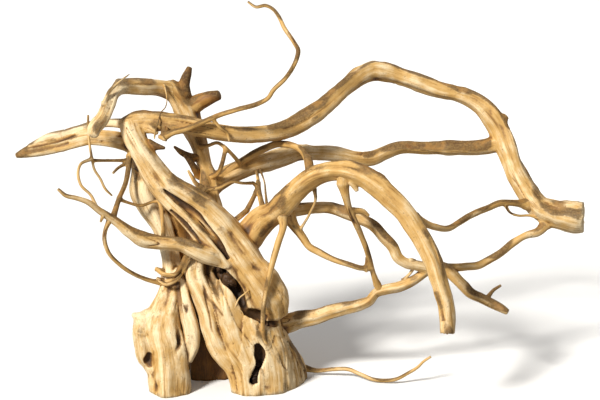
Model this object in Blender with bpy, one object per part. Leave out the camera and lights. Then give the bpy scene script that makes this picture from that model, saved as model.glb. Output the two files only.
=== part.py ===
"""Aquarium driftwood: one weathered piece of root wood, 0.45 m long, in metres with +Z up.

A gnarled stump stands on a left leg, a broad right body and a hollow back. Limbs, stubs and rootlets grow
out of it and meet again in places. Every limb is a swept tube along a hand-laid route. The tubes are joined
into one closed solid, the rotted hollows are cut out of it, and it is flat where the stump was sawn off, at
Z = 0.
"""

import math
from dataclasses import dataclass
from typing import NamedTuple

import bmesh
import bpy
import numpy as np
from mathutils import Matrix, Vector

MM = 0.001

# Driving dimensions, in millimetres
VIEW_TILT = math.radians(15.0)
VIEW_DISTANCE = 1400.0
VIEW_HEIGHT = 147.6
CENTRE_ACROSS = 0.15
CENTRE_AWAY = -5.65

# Mesh fineness: sides of a tube and length of a ring, by radius in millimetres
SIDES_BY_RADIUS = ((9.0, 12), (5.6, 10), (3.0, 8), (1.8, 6), (0.0, 5))
RING_PER_RADIUS = 1.35
SHORTEST_RING = 7.0
MOST_TRIANGLES = 11400
SMOOTH_STEP = 1.5
BARK = 0.5
SUNK = 0.35
ROUNDED = 0.55
SAWN = 0.08
CREASE_ANGLE = math.radians(50.0)
FLOOR_BLOCK = (800.0, 800.0, 100.0)
NODE = "driftwood"
WOOD = (0.46, 0.29, 0.12, 1.0)


class Stop(NamedTuple):
    """One point of a limb's route as seen from the front, in millimetres."""

    across: float
    up: float
    depth: float
    radius: float


@dataclass(frozen=True)
class Limb:
    """A limb: its carriers, how uneven its girth is, how deep it is for its width, and how its tip ends."""

    name: str
    route: tuple
    grows_from: str = ""
    lands_on: str = ""
    gnarl: float = 0.0
    deep: float = 1.0
    tip: float = ROUNDED


# The stump: sunken lobes side by side make its ridges, fissures and feet
STUMP = (
    Limb("leg", ((-103, -58, 9, 7.6), (-104, -72, 6, 8.6), (-108, -88, 4, 12), (-110, -104, 3, 15.4),
                 (-106, -120, 3, 15.4), (-105, -138, 3, 15.8), (-105, -168, 3, 16.2)), gnarl=0.06),
    Limb("leg_lobe", ((-120, -92, 3, 4), (-125, -102, 2, 7), (-124, -115, 2, 8.4), (-122, -127, 3, 7.2),
                      (-120, -132, 3, 4)), gnarl=0.08),
    Limb("leg_spur", ((-123, -99, 1, 4.4), (-129, -94, -1, 3), (-134, -91, -3, 1.2))),
    Limb("leg_strand", ((-100, -58, 4, 4.5), (-96, -67, 2, 5), (-93, -80, 0, 5.6), (-90, -92, -1, 6),
                        (-87, -104, -1, 6), (-87, -116, 0, 5.4), (-91, -127, 0, 4.4)), gnarl=0.08),
    Limb("pale_trunk", ((-131, 50, 4, 6.5), (-128, 36, 8, 8), (-125, 22, 12, 10), (-124, 8, 14, 11.6),
                        (-118, -6, 15, 10.4), (-111, -20, 14, 8.8), (-106, -36, 13, 8), (-103, -52, 10, 7.6),
                        (-103, -66, 6, 7.8)), gnarl=0.06),
    Limb("recess_back", ((-120, 22, 14, 6), (-112, 9, 21, 8.4), (-101, -8, 26, 9.6), (-91, -26, 28, 10.6),
                         (-85, -46, 28, 11), (-82, -66, 29, 10)), gnarl=0.07),
    Limb("neck_back", ((-102, -14, 20, 5), (-98, -30, 24, 7.4), (-95, -46, 25, 8), (-92, -64, 26, 8),
                       (-86, -86, 29, 9)), gnarl=0.06),
    Limb("spine", ((-136, 61, 0, 7.4), (-133, 53, -2, 8.2), (-128, 43, -4, 8.2), (-121, 33, -5, 7.8),
                   (-113, 22, -5, 7.8), (-103, 11, -6, 8.6), (-90, 2, -6, 9.6), (-76, -8, -6, 10.4),
                   (-63, -21, -6, 10.8), (-52, -36, -5, 11.2), (-41, -52, -4, 12), (-29, -68, -2, 13.2),
                   (-23, -80, 1, 13.2), (-20, -90, 4, 9.8)), gnarl=0.06),
    Limb("front_strand", ((-131, 38, -2, 5), (-126, 28, -4, 5.4), (-118, 15, -5, 5.2), (-110, 4, -6, 5.4),
                          (-96, -10, -8, 5.8), (-83, -25, -10, 6), (-71, -38, -10, 6), (-60, -52, -8, 5.6)),
         gnarl=0.08),
    Limb("left_ridge", ((-74, -32, 4, 7), (-82, -48, 2, 8), (-83, -60, 1, 8.5), (-77, -74, 0, 8.8),
                        (-71, -88, 0, 9.2), (-67, -102, 0, 9.8), (-60, -117, 2, 10.4), (-49, -133, 4, 10.2),
                        (-44, -166, 5, 9.4)), gnarl=0.08, deep=1.3),
    Limb("middle_ridge", ((-60, -30, 10, 11), (-57, -46, 8, 14), (-55, -64, 8, 15.5), (-50, -88, 8, 16.5),
                          (-42, -112, 10, 16.5), (-34, -132, 12, 16.5), (-30, -168, 14, 16.5)),
         gnarl=0.06, deep=1.15),
    Limb("right_ridge", ((-36, -70, 10, 13), (-31, -84, 11, 13.6), (-30, -104, 13, 13), (-23, -120, 17, 12.6),
                         (-15, -134, 21, 13.6), (-13, -164, 23, 13.6)), gnarl=0.06),
    Limb("apron", ((-38, -94, 8, 12), (-32, -112, 8, 16), (-29, -130, 10, 18), (-26, -168, 13, 19)),
         gnarl=0.05),
    Limb("right_heel", ((-20, -108, 22, 8), (-12, -120, 27, 8), (-5, -131, 32, 8.2), (-2, -154, 36, 8.4)),
         gnarl=0.07),
    Limb("back_wall", ((-78, -36, 18, 9), (-79, -54, 24, 11.5), (-80, -78, 29, 12.5), (-78, -104, 32, 12.5),
                       (-76, -130, 33, 11.5), (-76, -160, 34, 11)), gnarl=0.08),
    Limb("back_rib", ((-60, -36, 12, 9), (-61, -56, 23, 11.5), (-60, -84, 32, 13), (-61, -110, 35, 12),
                      (-64, -132, 36, 10.5), (-65, -158, 37, 10)), gnarl=0.08),
    Limb("back_buttress", ((-76, 8, 14, 5), (-73, -6, 19, 8), (-70, -24, 24, 10.5), (-68, -46, 32, 12.5),
                           (-66, -70, 41, 14), (-70, -94, 48, 14.5), (-77, -116, 53, 13.5),
                           (-80, -154, 59, 13.5)), gnarl=0.07),
    Limb("back_flank", ((-54, -24, 2, 6), (-50, -38, 12, 9), (-46, -54, 21, 11.5), (-37, -72, 29, 13.5),
                        (-34, -94, 36, 14), (-31, -114, 41, 13), (-24, -150, 49, 12.5)), gnarl=0.07),
)

# The limbs
LIMBS = (
    Limb("upper_limb", ((-139, 60, 2, 6.2), (-131, 63, 0, 7.2), (-120, 63, -1, 7), (-100, 62, -3, 6.8),
                        (-80, 58, -4, 6.4), (-60, 54, 0, 6), (-40, 52, 5, 6), (-22, 54, 10, 6.4),
                        (-8, 58, 16, 7.2), (8, 67, 23, 7.6), (24, 80, 31, 6.8), (40, 94, 39, 7),
                        (48, 100, 42, 7.6), (58, 104, 45, 8), (68, 103, 45, 7.5), (80, 99, 45, 6.4),
                        (96, 94, 44, 7), (112, 88, 43, 6), (122, 86, 43, 5.7), (132, 83, 42, 6.2),
                        (144, 76, 41, 7.2), (152, 68, 40, 8), (158, 59, 40, 7.7), (162, 51, 39, 8),
                        (166, 40, 37, 8), (170, 29, 34, 7.2), (175, 18, 31, 8), (182, 6, 27, 8.2),
                        (192, -6, 24, 10), (204, -11, 22, 11.4), (214, -13, 20, 12.4), (221, -14, 20, 13),
                        (226, -14, 19, 12)),
         gnarl=0.05, tip=SAWN),
    Limb("arch_limb", ((-42, -30, 6, 11), (-30, -15, 0, 10), (-19, -8, -8, 8.6), (-8, 4, -18, 8.4),
                       (4, 15, -27, 7.8), (16, 22, -34, 7.6), (28, 24, -40, 7.6), (40, 23, -45, 8),
                       (52, 18, -48, 7.7), (62, 11, -50, 8), (74, 0, -52, 7.2), (84, -10, -54, 6.8),
                       (92, -22, -55, 6.8), (100, -36, -56, 6.8), (106, -50, -57, 6.8), (110, -64, -58, 6.4),
                       (115, -80, -59, 6), (117, -93, -60, 6), (117, -106, -60, 5.4)), gnarl=0.05,
         tip=SAWN),
    Limb("middle_limb", ((-76, 4, 18, 7), (-67, 14, 26, 7.2), (-54, 22, 31, 7.2), (-44, 26, 35, 7.2),
                         (-30, 30, 38, 7.2), (-16, 34, 42, 7.6), (-2, 38, 45, 6), (12, 38, 48, 5.6),
                         (28, 37, 51, 5.6), (44, 34, 54, 4.9), (56, 33, 55, 5.6), (68, 38, 54, 5.2),
                         (80, 42, 52, 4.8), (96, 42, 50, 4.8), (110, 42, 48, 5.2), (117, 42, 47, 6),
                         (124, 42, 46, 5.3), (134, 42, 45, 5.2), (148, 43, 43, 5.8), (160, 46, 40, 6.4)),
         gnarl=0.05),
    Limb("rear_riser", ((-105, 91, 24, 6.4), (-101, 87, 25, 7.4), (-96, 80, 27, 8.2), (-90, 68, 28, 8.8),
                        (-86, 56, 29, 8), (-82, 46, 29, 6.8), (-78, 32, 27, 6.2), (-74, 16, 21, 6.6),
                        (-73, 2, 15, 8), (-70, -14, 12, 9.5)), gnarl=0.06),
    Limb("yoke", ((-146, 91, 1, 5.2), (-138, 91, 5, 5.6), (-126, 90, 10, 6), (-113, 90, 18, 6.2),
                  (-100, 86, 26, 6.6)), gnarl=0.05),
    Limb("hooked_limb", ((-166, 53, -21, 4.2), (-165, 57, -20, 5.1), (-159, 64, -17, 5), (-154, 75, -12, 4.8),
                         (-150, 85, -5, 4.8), (-144, 91, 2, 5.2)), gnarl=0.06),
    Limb("hook_splinter", ((-158, 78, -17, 1), (-153, 87, -15, 1), (-145, 95, -11, 0.8), (-137, 101, -7, 0.4)),
         grows_from="hooked_limb"),
    Limb("left_spar", ((-227, 36, 12, 1.6), (-220, 38, 13, 4), (-208, 41, 13, 5.4), (-196, 43, 13, 5.2),
                       (-184, 46, 11, 4.8), (-170, 50, 8, 5.4), (-152, 49, 8, 5.6), (-138, 46, 8, 6.4),
                       (-126, 40, 4, 6.6)), gnarl=0.07),
    Limb("spar_strand", ((-216, 43, 13, 1.8), (-204, 50, 14, 2.4), (-192, 53, 14, 2.8), (-176, 57, 12, 3),
                         (-164, 61, 11, 3), (-150, 62, 9, 3.1), (-138, 61, 4, 4))),
    Limb("horn", ((-94, 84, 24, 5.4), (-93, 93, 24, 3.8), (-91, 100, 23, 3), (-89, 106, 23, 1.8))),
    Limb("stub", ((-90, 72, 27, 6), (-80, 79, 24, 6), (-73, 82, 22, 5.2), (-66, 84, 20, 3.8))),
    Limb("side_root", ((-194, 9, -45, 1), (-188, 4, -43, 1.3), (-180, 2, -40, 1.5), (-171, -1, -37, 1.7),
                       (-160, -9, -31, 2.2), (-148, -17, -25, 3), (-136, -26, -22, 4.3), (-127, -31, -19, 6),
                       (-112, -34, -17, 5.4), (-96, -35, -16, 5.4), (-80, -42, -15, 6.6), (-68, -48, -12, 6.4),
                       (-58, -53, -3, 5)), gnarl=0.05),
    Limb("under_limb", ((-20, -8, -2, 6), (-8, -8, -2, 5), (8, -6, -3, 4.5), (24, -6, -4, 4.4),
                        (36, -10, -5, 4.3), (48, -15, -5, 4), (58, -20, -5, 4), (66, -29, -4, 4),
                        (74, -38, -2, 4), (78, -46, -1, 4), (84, -50, 0, 3.9), (92, -52, 2, 3.9),
                        (102, -54, 5, 3.9), (114, -55, 7, 3.8)), gnarl=0.04),
    Limb("dark_branch", ((110, -55, 6, 3.4), (118, -54, 8, 2.9), (132, -53, 10, 2.6), (142, -52, 12, 2.6),
                         (150, -48, 13, 2.6), (160, -42, 14, 2.5), (170, -34, 17, 2.5), (180, -28, 18, 2.5),
                         (190, -25, 20, 3), (197, -18, 22, 4))),
    Limb("fork", ((112, -54, 7, 3.4), (118, -57, 6, 3.8), (124, -62, 4, 4), (130, -68, 2, 3.8),
                  (136, -74, 0, 3.6), (144, -78, -2, 3.6), (152, -82, -3, 3.4), (160, -86, -4, 2.9),
                  (165, -89, -5, 2))),
    Limb("low_branch", ((-20, -100, 22, 8), (-10, -98, 24, 7), (0, -95, 22, 6), (12, -93, 19, 5),
                        (24, -89, 16, 4.8), (36, -86, 13, 4.5), (48, -83, 11, 4.1), (55, -80, 10, 3.5),
                        (60, -74, 10, 3.2), (68, -71, 9, 3.6), (78, -69, 8, 3.9), (90, -64, 7, 3.2),
                        (103, -55, 6, 3)), gnarl=0.05),
)

# Slender branches and rootlets
TWIGS = (
    Limb("whip", ((-109, 51, -11, 2.6), (-103, 54, -13, 1.9), (-92, 57, -14, 1.8), (-80, 62, -15, 1.7),
                  (-66, 68, -16, 1.6), (-50, 73, -21, 1.5), (-33, 78, -28, 1.5), (-26, 82, -32, 1.4),
                  (-22, 88, -36, 1.4), (-12, 98, -42, 1.4), (-6, 107, -47, 1.4), (-3, 114, -50, 1.4),
                  (-2, 120, -49, 1.4), (-5, 126, -46, 1.3), (-13, 138, -41, 1.3), (-18, 148, -36, 1.2),
                  (-22, 153, -34, 1.1), (-28, 156, -32, 1.1), (-36, 155, -31, 1), (-42, 159, -30, 0.8)),
         grows_from="upper_limb"),
    Limb("whip_side", ((-70, 65, -15, 1.1), (-64, 58, -13, 1), (-59, 54, -9, 1), (-57, 48, -8, 0.9)),
         grows_from="whip"),
    Limb("bridge", ((91, -15, -50, 3), (99, -18, -45, 2.4), (107, -21, -39, 2.1), (119, -22, -27, 2),
                    (126, -18, -20, 2), (134, -13, -13, 2.1), (142, -9, -6, 2.2), (150, -6, 1, 2.2),
                    (160, -2, 8, 2.2), (170, -2, 14, 2.1), (182, -3, 21, 2.6)),
         grows_from="arch_limb", lands_on="upper_limb"),
    Limb("bridge_side", ((164, -4, 10, 1.1), (167, -9, 12, 0.9), (174, -12, 16, 0.9), (183, -12, 19, 0.9),
                         (192, -14, 20, 1.1)), grows_from="bridge", lands_on="upper_limb"),
    Limb("prop", ((34, 13, -42, 3.4), (36, 4, -40, 2.6), (39, -7, -34, 2.2), (44, -18, -27, 2),
                  (48, -27, -20, 1.9), (52, -37, -13, 1.8), (55, -47, -6, 1.8), (58, -58, 1, 1.8),
                  (61, -67, 7, 2.3)), grows_from="arch_limb", lands_on="low_branch"),
    Limb("prop_stub", ((42, -8, -31, 1.8), (50, -9, -28, 1.7), (54, -12, -26, 1.3)), grows_from="prop"),
    Limb("curved_twig", ((-10, -12, -5, 3.4), (-6, -19, -4, 3), (2, -30, -2, 2.8), (7, -37, -2, 2.5),
                         (14, -41, -3, 2.3), (26, -47, -5, 2), (38, -51, -6, 1.8), (48, -54, -5, 1.7),
                         (56, -54, -2, 1.7)), grows_from="under_limb", lands_on="prop"),
    Limb("curved_spur", ((53, -54, -4, 1.4), (53, -46, -7, 1)), grows_from="curved_twig"),
    Limb("thin_twig", ((11, 9, -28, 1.3), (12, 2, -25, 1), (8, -9, -16, 0.9), (3, -18, -8, 0.9),
                       (-1, -24, -3, 1)), grows_from="arch_limb", lands_on="curved_twig"),
    Limb("front_vine", ((-15, -8, -12, 2.6), (-14, -21, -15, 2.3), (-18, -34, -17, 2.2), (-22, -48, -18, 2),
                        (-25, -60, -18, 1.7), (-28, -74, -17, 1.5), (-30, -90, -14, 1.4), (-30, -104, -9, 1.3),
                        (-28, -114, -7, 1.3), (-24, -122, -3, 1.2)), grows_from="arch_limb",
         lands_on="middle_ridge"),
    Limb("floor_root", ((3, -134, 33, 1.9), (12, -136, 33, 1.5), (26, -135, 30, 1.3), (38, -135, 26, 1.3),
                        (48, -139, 22, 1.3), (58, -143, 18, 1.3), (66, -144, 17, 1.3), (76, -143, 15, 1.2),
                        (86, -138, 14, 1.1), (94, -133, 12, 1), (98, -129, 12, 0.9), (104, -125, 11, 0.8)),
         grows_from="right_heel"),
    Limb("vein", ((-70, 14, 24, 3), (-60, 22, 26, 2.8), (-46, 32, 27, 2.6), (-36, 38, 27, 2.6),
                  (-28, 42, 25, 2.5), (-20, 45, 21, 2.4), (-12, 45, 14, 2.4), (-4, 43, 4, 2.3), (2, 39, -6, 2.4),
                  (6, 33, -16, 2.8)), grows_from="middle_limb", lands_on="arch_limb"),
    Limb("fork_twig", ((150, -77, -2, 1.3), (154, -72, -1, 1.1), (160, -68, 0, 0.9)), grows_from="fork"),
    Limb("link_twig", ((90, -48, 0, 1.1), (90, -54, 3, 1), (86, -60, 6, 1), (82, -64, 8, 1.1)),
         grows_from="under_limb", lands_on="low_branch"),
    Limb("chain", ((-137, 36, 2, 2), (-138, 24, -2, 1.7), (-140, 14, -6, 1.6), (-145, 2, -12, 1.6),
                   (-150, -13, -23, 1.8)), grows_from="spine", lands_on="side_root"),
    Limb("chain_side", ((-139, 30, 0, 1.1), (-146, 26, -4, 1), (-150, 22, -8, 0.8)), grows_from="chain"),
    Limb("loop_root", ((-153, -16, -27, 1.5), (-156, -23, -28, 1.3), (-157, -30, -28, 1.3),
                       (-154, -41, -25, 1.3), (-145, -51, -19, 1.3), (-133, -59, -11, 1.3),
                       (-120, -64, -3, 1.4), (-111, -66, 1, 1.7)), grows_from="side_root", lands_on="leg"),
    Limb("hanging_root", ((-170, 68, -14, 0.8), (-170, 58, -18, 0.9), (-169, 46, -23, 0.9), (-167, 34, -23, 0.9),
                          (-165, 25, -20, 0.9), (-160, 17, -17, 0.9), (-156, 9, -15, 0.9), (-151, 4, -14, 0.7))),
    Limb("bow_root", ((-164, -5, -33, 1.3), (-167, 3, -33, 1), (-176, 13, -35, 1), (-178, 22, -34, 1),
                      (-176, 29, -30, 1), (-168, 33, -24, 1.1)), grows_from="side_root",
         lands_on="hanging_root"),
    Limb("cross_root", ((-139, 32, 1, 1.2), (-152, 32, -9, 1), (-165, 32, -20, 1.1)), grows_from="chain",
         lands_on="hanging_root"),
    Limb("lying_root", ((-145, 1, -12, 1.1), (-137, -2, -9, 1), (-128, -4, -5, 1), (-118, -1, -2, 1),
                        (-111, 0, -2, 1.1)), grows_from="chain", lands_on="front_strand"),
    Limb("trunk_vine", ((-112, -2, -2, 1.4), (-111, -12, -5, 1.3), (-110, -22, -10, 1.3),
                        (-110, -30, -17, 1.4)), grows_from="front_strand", lands_on="side_root"),
    Limb("neck_vine", ((-108, -66, -3, 1.6), (-102, -62, -6, 1.5), (-97, -55, -7, 1.5), (-91, -44, -11, 1.6)),
         grows_from="leg", lands_on="side_root"),
    Limb("knot_vine", ((-115, -55, -3, 1.4), (-109, -59, -9, 1.4), (-101, -59, -10, 1.2), (-95, -52, -9, 1.2)),
         grows_from="leg", lands_on="side_root"),
    Limb("knot_loop", ((-114, -63, -4, 1.3), (-107, -67, -9, 1.2), (-100, -64, -9, 1.1), (-95, -58, -7, 1.1)),
         grows_from="leg", lands_on="side_root"),
    Limb("hip_vine", ((-56, -89, -10, 1.3), (-50, -80, -13, 1.2), (-44, -73, -15, 1.2)),
         grows_from="middle_ridge", lands_on="spine"),
    Limb("hip_twist", ((-53, -86, -11, 1.2), (-45, -91, -11, 1), (-41, -98, -8, 1.1)),
         grows_from="middle_ridge", lands_on="middle_ridge"),
    Limb("nub", ((-158, -12, -31, 1.2), (-160, -17, -31, 0.7)), grows_from="side_root"),
    Limb("yoke_vine", ((-109, 92, 13, 1), (-107, 82, 10, 0.7), (-109, 74, 4, 0.7), (-113, 68, -5, 0.7),
                       (-115, 62, -9, 0.8), (-118, 58, -10, 0.9)), grows_from="yoke", lands_on="upper_limb"),
    Limb("limb_knob", ((-122, 58, -5, 3.6), (-118, 55, -9, 2.8), (-114, 53, -10, 1.8))),
    Limb("limb_boss", ((158, 61, 39, 4), (164, 67, 37, 2.4))),
    Limb("arch_boss", ((60, 14, -51, 4), (65, 20, -51, 1.6))),
    Limb("arch_nub", ((41, 15, -46, 2.6), (45, 8, -46, 1.2))),
    Limb("spine_stub", ((-121, 46, -4, 4), (-113, 43, -7, 2.6), (-106, 41, -9, 1.4))),
    Limb("upper_claw", ((-84, 34, 22, 2.4), (-90, 36, 17, 2.2), (-96, 39, 12, 1.8), (-101, 43, 9, 0.9)),
         grows_from="rear_riser"),
    Limb("lower_claw", ((-82, 20, 22, 2.2), (-85, 26, 17, 2.2), (-89, 32, 13, 1.6), (-93, 36, 11, 0.8)),
         grows_from="rear_riser"),
    Limb("thorn", ((-77, 9, -3, 1.8), (-84, 14, -5, 1.4), (-87, 19, -6, 1.2), (-90, 24, -7, 0.8)),
         grows_from="spine"),
    Limb("wavy_twig", ((-76, 9, -3, 1.5), (-66, 10, -2, 1.2), (-55, 15, 0, 1), (-47, 14, 5, 1),
                       (-38, 14, 16, 1.1)), grows_from="spine", lands_on="fine_root"),
    Limb("high_twig", ((-81, 43, 24, 1.6), (-74, 44, 15, 1.2), (-66, 46, 8, 1.1), (-60, 42, 5, 1.2),
                       (-54, 36, 10, 1.2), (-49, 30, 22, 1.4)), grows_from="rear_riser",
         lands_on="middle_limb"),
    Limb("high_twig_leg", ((-60, 41, 5, 1.3), (-63, 29, 6, 1.4), (-66, 22, 12, 1.5), (-71, 19, 17, 1.7)),
         grows_from="high_twig", lands_on="rear_riser"),
    Limb("fine_root", ((-35, 23, 30, 1), (-34, 13, 21, 1.2), (-37, 4, 14, 1.5), (-43, -8, 8, 1.8)),
         grows_from="middle_limb", lands_on="spine"),
    Limb("fine_root_fork", ((-34, 14, 21, 1.3), (-33, 6, 14, 1.6), (-31, -3, 7, 1.8)), grows_from="fine_root",
         lands_on="arch_limb"),
    Limb("fine_root_side", ((-32, 24, 31, 0.8), (-29, 15, 22, 0.7), (-28, 6, 11, 0.8), (-27, -3, 3, 1)),
         grows_from="middle_limb", lands_on="arch_limb"),
)

# Rotted hollows and the deep crevice between the spine and the strand before it
HOLLOWS = (
    Limb("almond_hole", ((-70, -53, -9, 1.4), (-64, -57, -10, 3), (-57, -65, -9, 4.4), (-51, -74, -8, 4.2),
                         (-46, -83, -8, 2.6), (-43, -90, -8, 1.4))),
    Limb("hip_hole", ((-46, -88, -9, 1.4), (-40, -90, -7, 3.2), (-34, -92, -5, 3.8), (-29, -94, -3, 2.4))),
    Limb("keyhole", ((-35, -115, -7, 2), (-33, -121, -6, 4.2), (-33, -129, -4, 4), (-36, -138, -3, 4.6),
                     (-38, -146, -2, 5.4), (-38, -149, -2, 3))),
    Limb("spine_hole", ((-134, 33, -1, 1.6), (-131, 28, -1, 3.6), (-128, 23, -1, 1.8))),
    Limb("upper_crevice", ((-112, 13, -9, 1.4), (-104, 5, -12, 2), (-95, -2, -13, 2.4), (-84, -11, -14, 2.6),
                           (-75, -21, -14, 2.4), (-66, -34, -14, 2.6), (-59, -46, -12, 2))),
)


def place(stop):
    """The world point, in millimetres, of a stop given as seen from the front, a little from above."""
    away = Vector((0.0, math.cos(VIEW_TILT), -math.sin(VIEW_TILT)))
    upward = Vector((0.0, math.sin(VIEW_TILT), math.cos(VIEW_TILT)))
    spread = 1.0 + stop.depth / VIEW_DISTANCE
    middle = Vector((-CENTRE_ACROSS, -CENTRE_AWAY, VIEW_HEIGHT))
    across = Vector((stop.across, 0.0, 0.0))
    return middle + away * stop.depth + (across + upward * stop.up) * spread


def smooth_path(stops):
    """An even run of (x, y, z, radius) rows through the stops, by chord-length Catmull-Rom spans."""
    rows = np.array([(*place(stop), stop.radius + BARK) for stop in stops])
    chords = np.linalg.norm(np.diff(rows[:, :3], axis=0), axis=1)
    times = np.concatenate(([0.0], np.cumsum(chords)))
    slopes = np.gradient(rows, times, axis=0, edge_order=1)
    run = []
    for index, chord in enumerate(chords):
        steps = max(1, math.ceil(chord / SMOOTH_STEP))
        for t in np.arange(steps) / steps:
            rise = t * t * (3.0 - 2.0 * t)
            run.append(rows[index] * (1.0 - rise) + rows[index + 1] * rise
                       + slopes[index] * chord * t * (1.0 - t) ** 2
                       - slopes[index + 1] * chord * t * t * (1.0 - t))
    run.append(rows[-1])
    return np.array(run)


def seated(point, carrier):
    """The point moved most of the way to the carrier's nearest heartwood, so that a root sinks well in."""
    near = carrier[np.argmin(np.linalg.norm(carrier[:, :3] - point[:3], axis=1)), :3]
    return near + (point[:3] - near) * SUNK


def limb_path(limb, paths):
    """The limb's smooth path, with its root and its landing sunk into the limbs that carry them."""
    path = smooth_path([Stop(*stop) for stop in limb.route])
    if limb.grows_from:
        first = path[0].copy()
        first[:3] = seated(first, paths[limb.grows_from])
        path = np.vstack((first, path))
    if limb.lands_on:
        last = path[-1].copy()
        last[:3] = seated(last, paths[limb.lands_on])
        path = np.vstack((path, last))
    return path


def ring_rows(path):
    """Rows of the path where rings go: closer together where the limb is thin."""
    spans = np.linalg.norm(np.diff(path[:, :3], axis=0), axis=1)
    middles = (path[1:, 3] + path[:-1, 3]) / 2.0
    cost = np.concatenate(([0.0], np.cumsum(spans / np.maximum(SHORTEST_RING, RING_PER_RADIUS * middles))))
    marks = np.linspace(0.0, cost[-1], max(3, round(cost[-1]) + 1))
    return np.column_stack([np.interp(marks, cost, path[:, column]) for column in range(4)])


def girth_waves(seed, gnarl):
    """A function of angle and length that swells and pinches a limb's girth, the same for the same seed."""
    draw = np.random.default_rng(seed)
    waves = [(count, draw.uniform(0.0, 2.0 * math.pi), draw.uniform(-0.05, 0.05)) for count in (2, 3, 5)]

    def girth(angle, along):
        return 1.0 + gnarl * sum(math.cos(count * angle + phase + twist * along)
                                 for count, phase, twist in waves)

    return girth


def sides_for(radius):
    """How many sides a tube of this radius has."""
    return next(sides for least, sides in SIDES_BY_RADIUS if radius >= least)


def sweep(bm, limb, path, seed):
    """A closed tube along the path, with rings square to it and a short blunt tip at each end."""
    rows = ring_rows(path)
    centres = [Vector(row[:3]) for row in rows]
    radii = rows[:, 3]
    sides = sides_for(float(np.mean(radii)))
    girth = girth_waves(seed, limb.gnarl)
    away = Vector((0.0, math.cos(VIEW_TILT), -math.sin(VIEW_TILT)))
    side = None
    along = 0.0
    rings = []
    for index, centre in enumerate(centres):
        before = centres[max(index - 1, 0)]
        after = centres[min(index + 1, len(centres) - 1)]
        tangent = (after - before).normalized()
        if side is None:
            side = tangent.orthogonal().normalized()
        side = (side - tangent * side.dot(tangent)).normalized()
        other = tangent.cross(side)
        if index:
            along += (centre - centres[index - 1]).length
        ring = []
        for step in range(sides):
            angle = 2.0 * math.pi * step / sides
            spoke = (side * math.cos(angle) + other * math.sin(angle)) * radii[index] * girth(angle, along)
            spoke += away * (spoke.dot(away) * (limb.deep - 1.0))
            ring.append(bm.verts.new(centre + spoke))
        rings.append(ring)
    for lower, upper in zip(rings, rings[1:]):
        for step in range(sides):
            following = (step + 1) % sides
            bm.faces.new((lower[step], lower[following], upper[following], upper[step]))
    close_end(bm, rings[0], (centres[0] - centres[1]).normalized() * radii[0] * ROUNDED, True)
    close_end(bm, rings[-1], (centres[-1] - centres[-2]).normalized() * radii[-1] * limb.tip, False)


def close_end(bm, ring, reach, reverse):
    """A low cone of triangles over the last ring."""
    middle = sum((vert.co for vert in ring), Vector()) / len(ring)
    tip = bm.verts.new(middle + reach)
    for step, vert in enumerate(ring):
        pair = (vert, ring[(step + 1) % len(ring)])
        bm.faces.new((*(reversed(pair) if reverse else pair), tip))


def new_object(name, bm):
    """A mesh object in metres from a bmesh in millimetres."""
    bmesh.ops.recalc_face_normals(bm, faces=bm.faces)
    bmesh.ops.transform(bm, matrix=Matrix.Scale(MM, 4), verts=bm.verts)
    mesh = bpy.data.meshes.new(name)
    bm.to_mesh(mesh)
    bm.free()
    return bpy.data.objects.new(name, mesh)


def limb_object(limb, path, seed):
    """One limb as its own closed mesh object."""
    bm = bmesh.new()
    sweep(bm, limb, path, seed)
    bmesh.ops.triangulate(bm, faces=bm.faces)
    return new_object(limb.name, bm)


def keep_largest_shell(obj):
    """Fills sealed hollows and drops loose scraps: only the shell with the most surface stays."""
    bm = bmesh.new()
    bm.from_mesh(obj.data)
    unseen = set(bm.verts)
    shells = []
    while unseen:
        shell = {unseen.pop()}
        front = list(shell)
        while front:
            near = {edge.other_vert(vert) for vert in front for edge in vert.link_edges} & unseen
            unseen -= near
            shell |= near
            front = list(near)
        shells.append(shell)
    shells.sort(key=len)
    bmesh.ops.delete(bm, geom=[vert for shell in shells[:-1] for vert in shell], context="VERTS")
    bm.to_mesh(obj.data)
    bm.free()


def thin_out(obj):
    """Collapses the slivers that the union leaves, down to the most triangles that the solid may have."""
    bm = bmesh.new()
    bm.from_mesh(obj.data)
    bmesh.ops.triangulate(bm, faces=bm.faces)
    bm.to_mesh(obj.data)
    count = len(bm.faces)
    bm.free()
    if count > MOST_TRIANGLES:
        collapse = obj.modifiers.new("thin_out", "DECIMATE")
        collapse.ratio = MOST_TRIANGLES / count
        bake_modifiers(obj)


def floor_block():
    """A block whose top is the floor, which saws the stump off flat."""
    bm = bmesh.new()
    bmesh.ops.create_cube(bm, size=1.0, matrix=Matrix.Translation((0.0, 0.0, -FLOOR_BLOCK[2] / 2.0))
                          @ Matrix.Diagonal((*FLOOR_BLOCK, 1.0)))
    return new_object("floor_block", bm)


def bake_modifiers(obj):
    """Applies the object's modifiers to its mesh."""
    seen = obj.evaluated_get(bpy.context.evaluated_depsgraph_get())
    result = bpy.data.meshes.new_from_object(seen)
    obj.modifiers.clear()
    obj.data = result


def apply_boolean(target, operation, **operand):
    """Applies one Boolean to the target's mesh."""
    change = target.modifiers.new(operation.lower(), "BOOLEAN")
    change.operation = operation
    change.solver = "MANIFOLD"
    for key, value in operand.items():
        setattr(change, key, value)
    bake_modifiers(target)


def wood_material():
    """Dry root wood, golden tan."""
    material = bpy.data.materials.new("root_wood")
    material.use_nodes = True
    shader = material.node_tree.nodes["Principled BSDF"]
    shader.inputs["Base Color"].default_value = WOOD
    shader.inputs["Roughness"].default_value = 0.75
    shader.inputs["Metallic"].default_value = 0.0
    material.diffuse_color = WOOD
    return material


def clear_scene():
    """Removes what the scene held before."""
    for old in list(bpy.data.objects):
        bpy.data.objects.remove(old, do_unlink=True)


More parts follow.
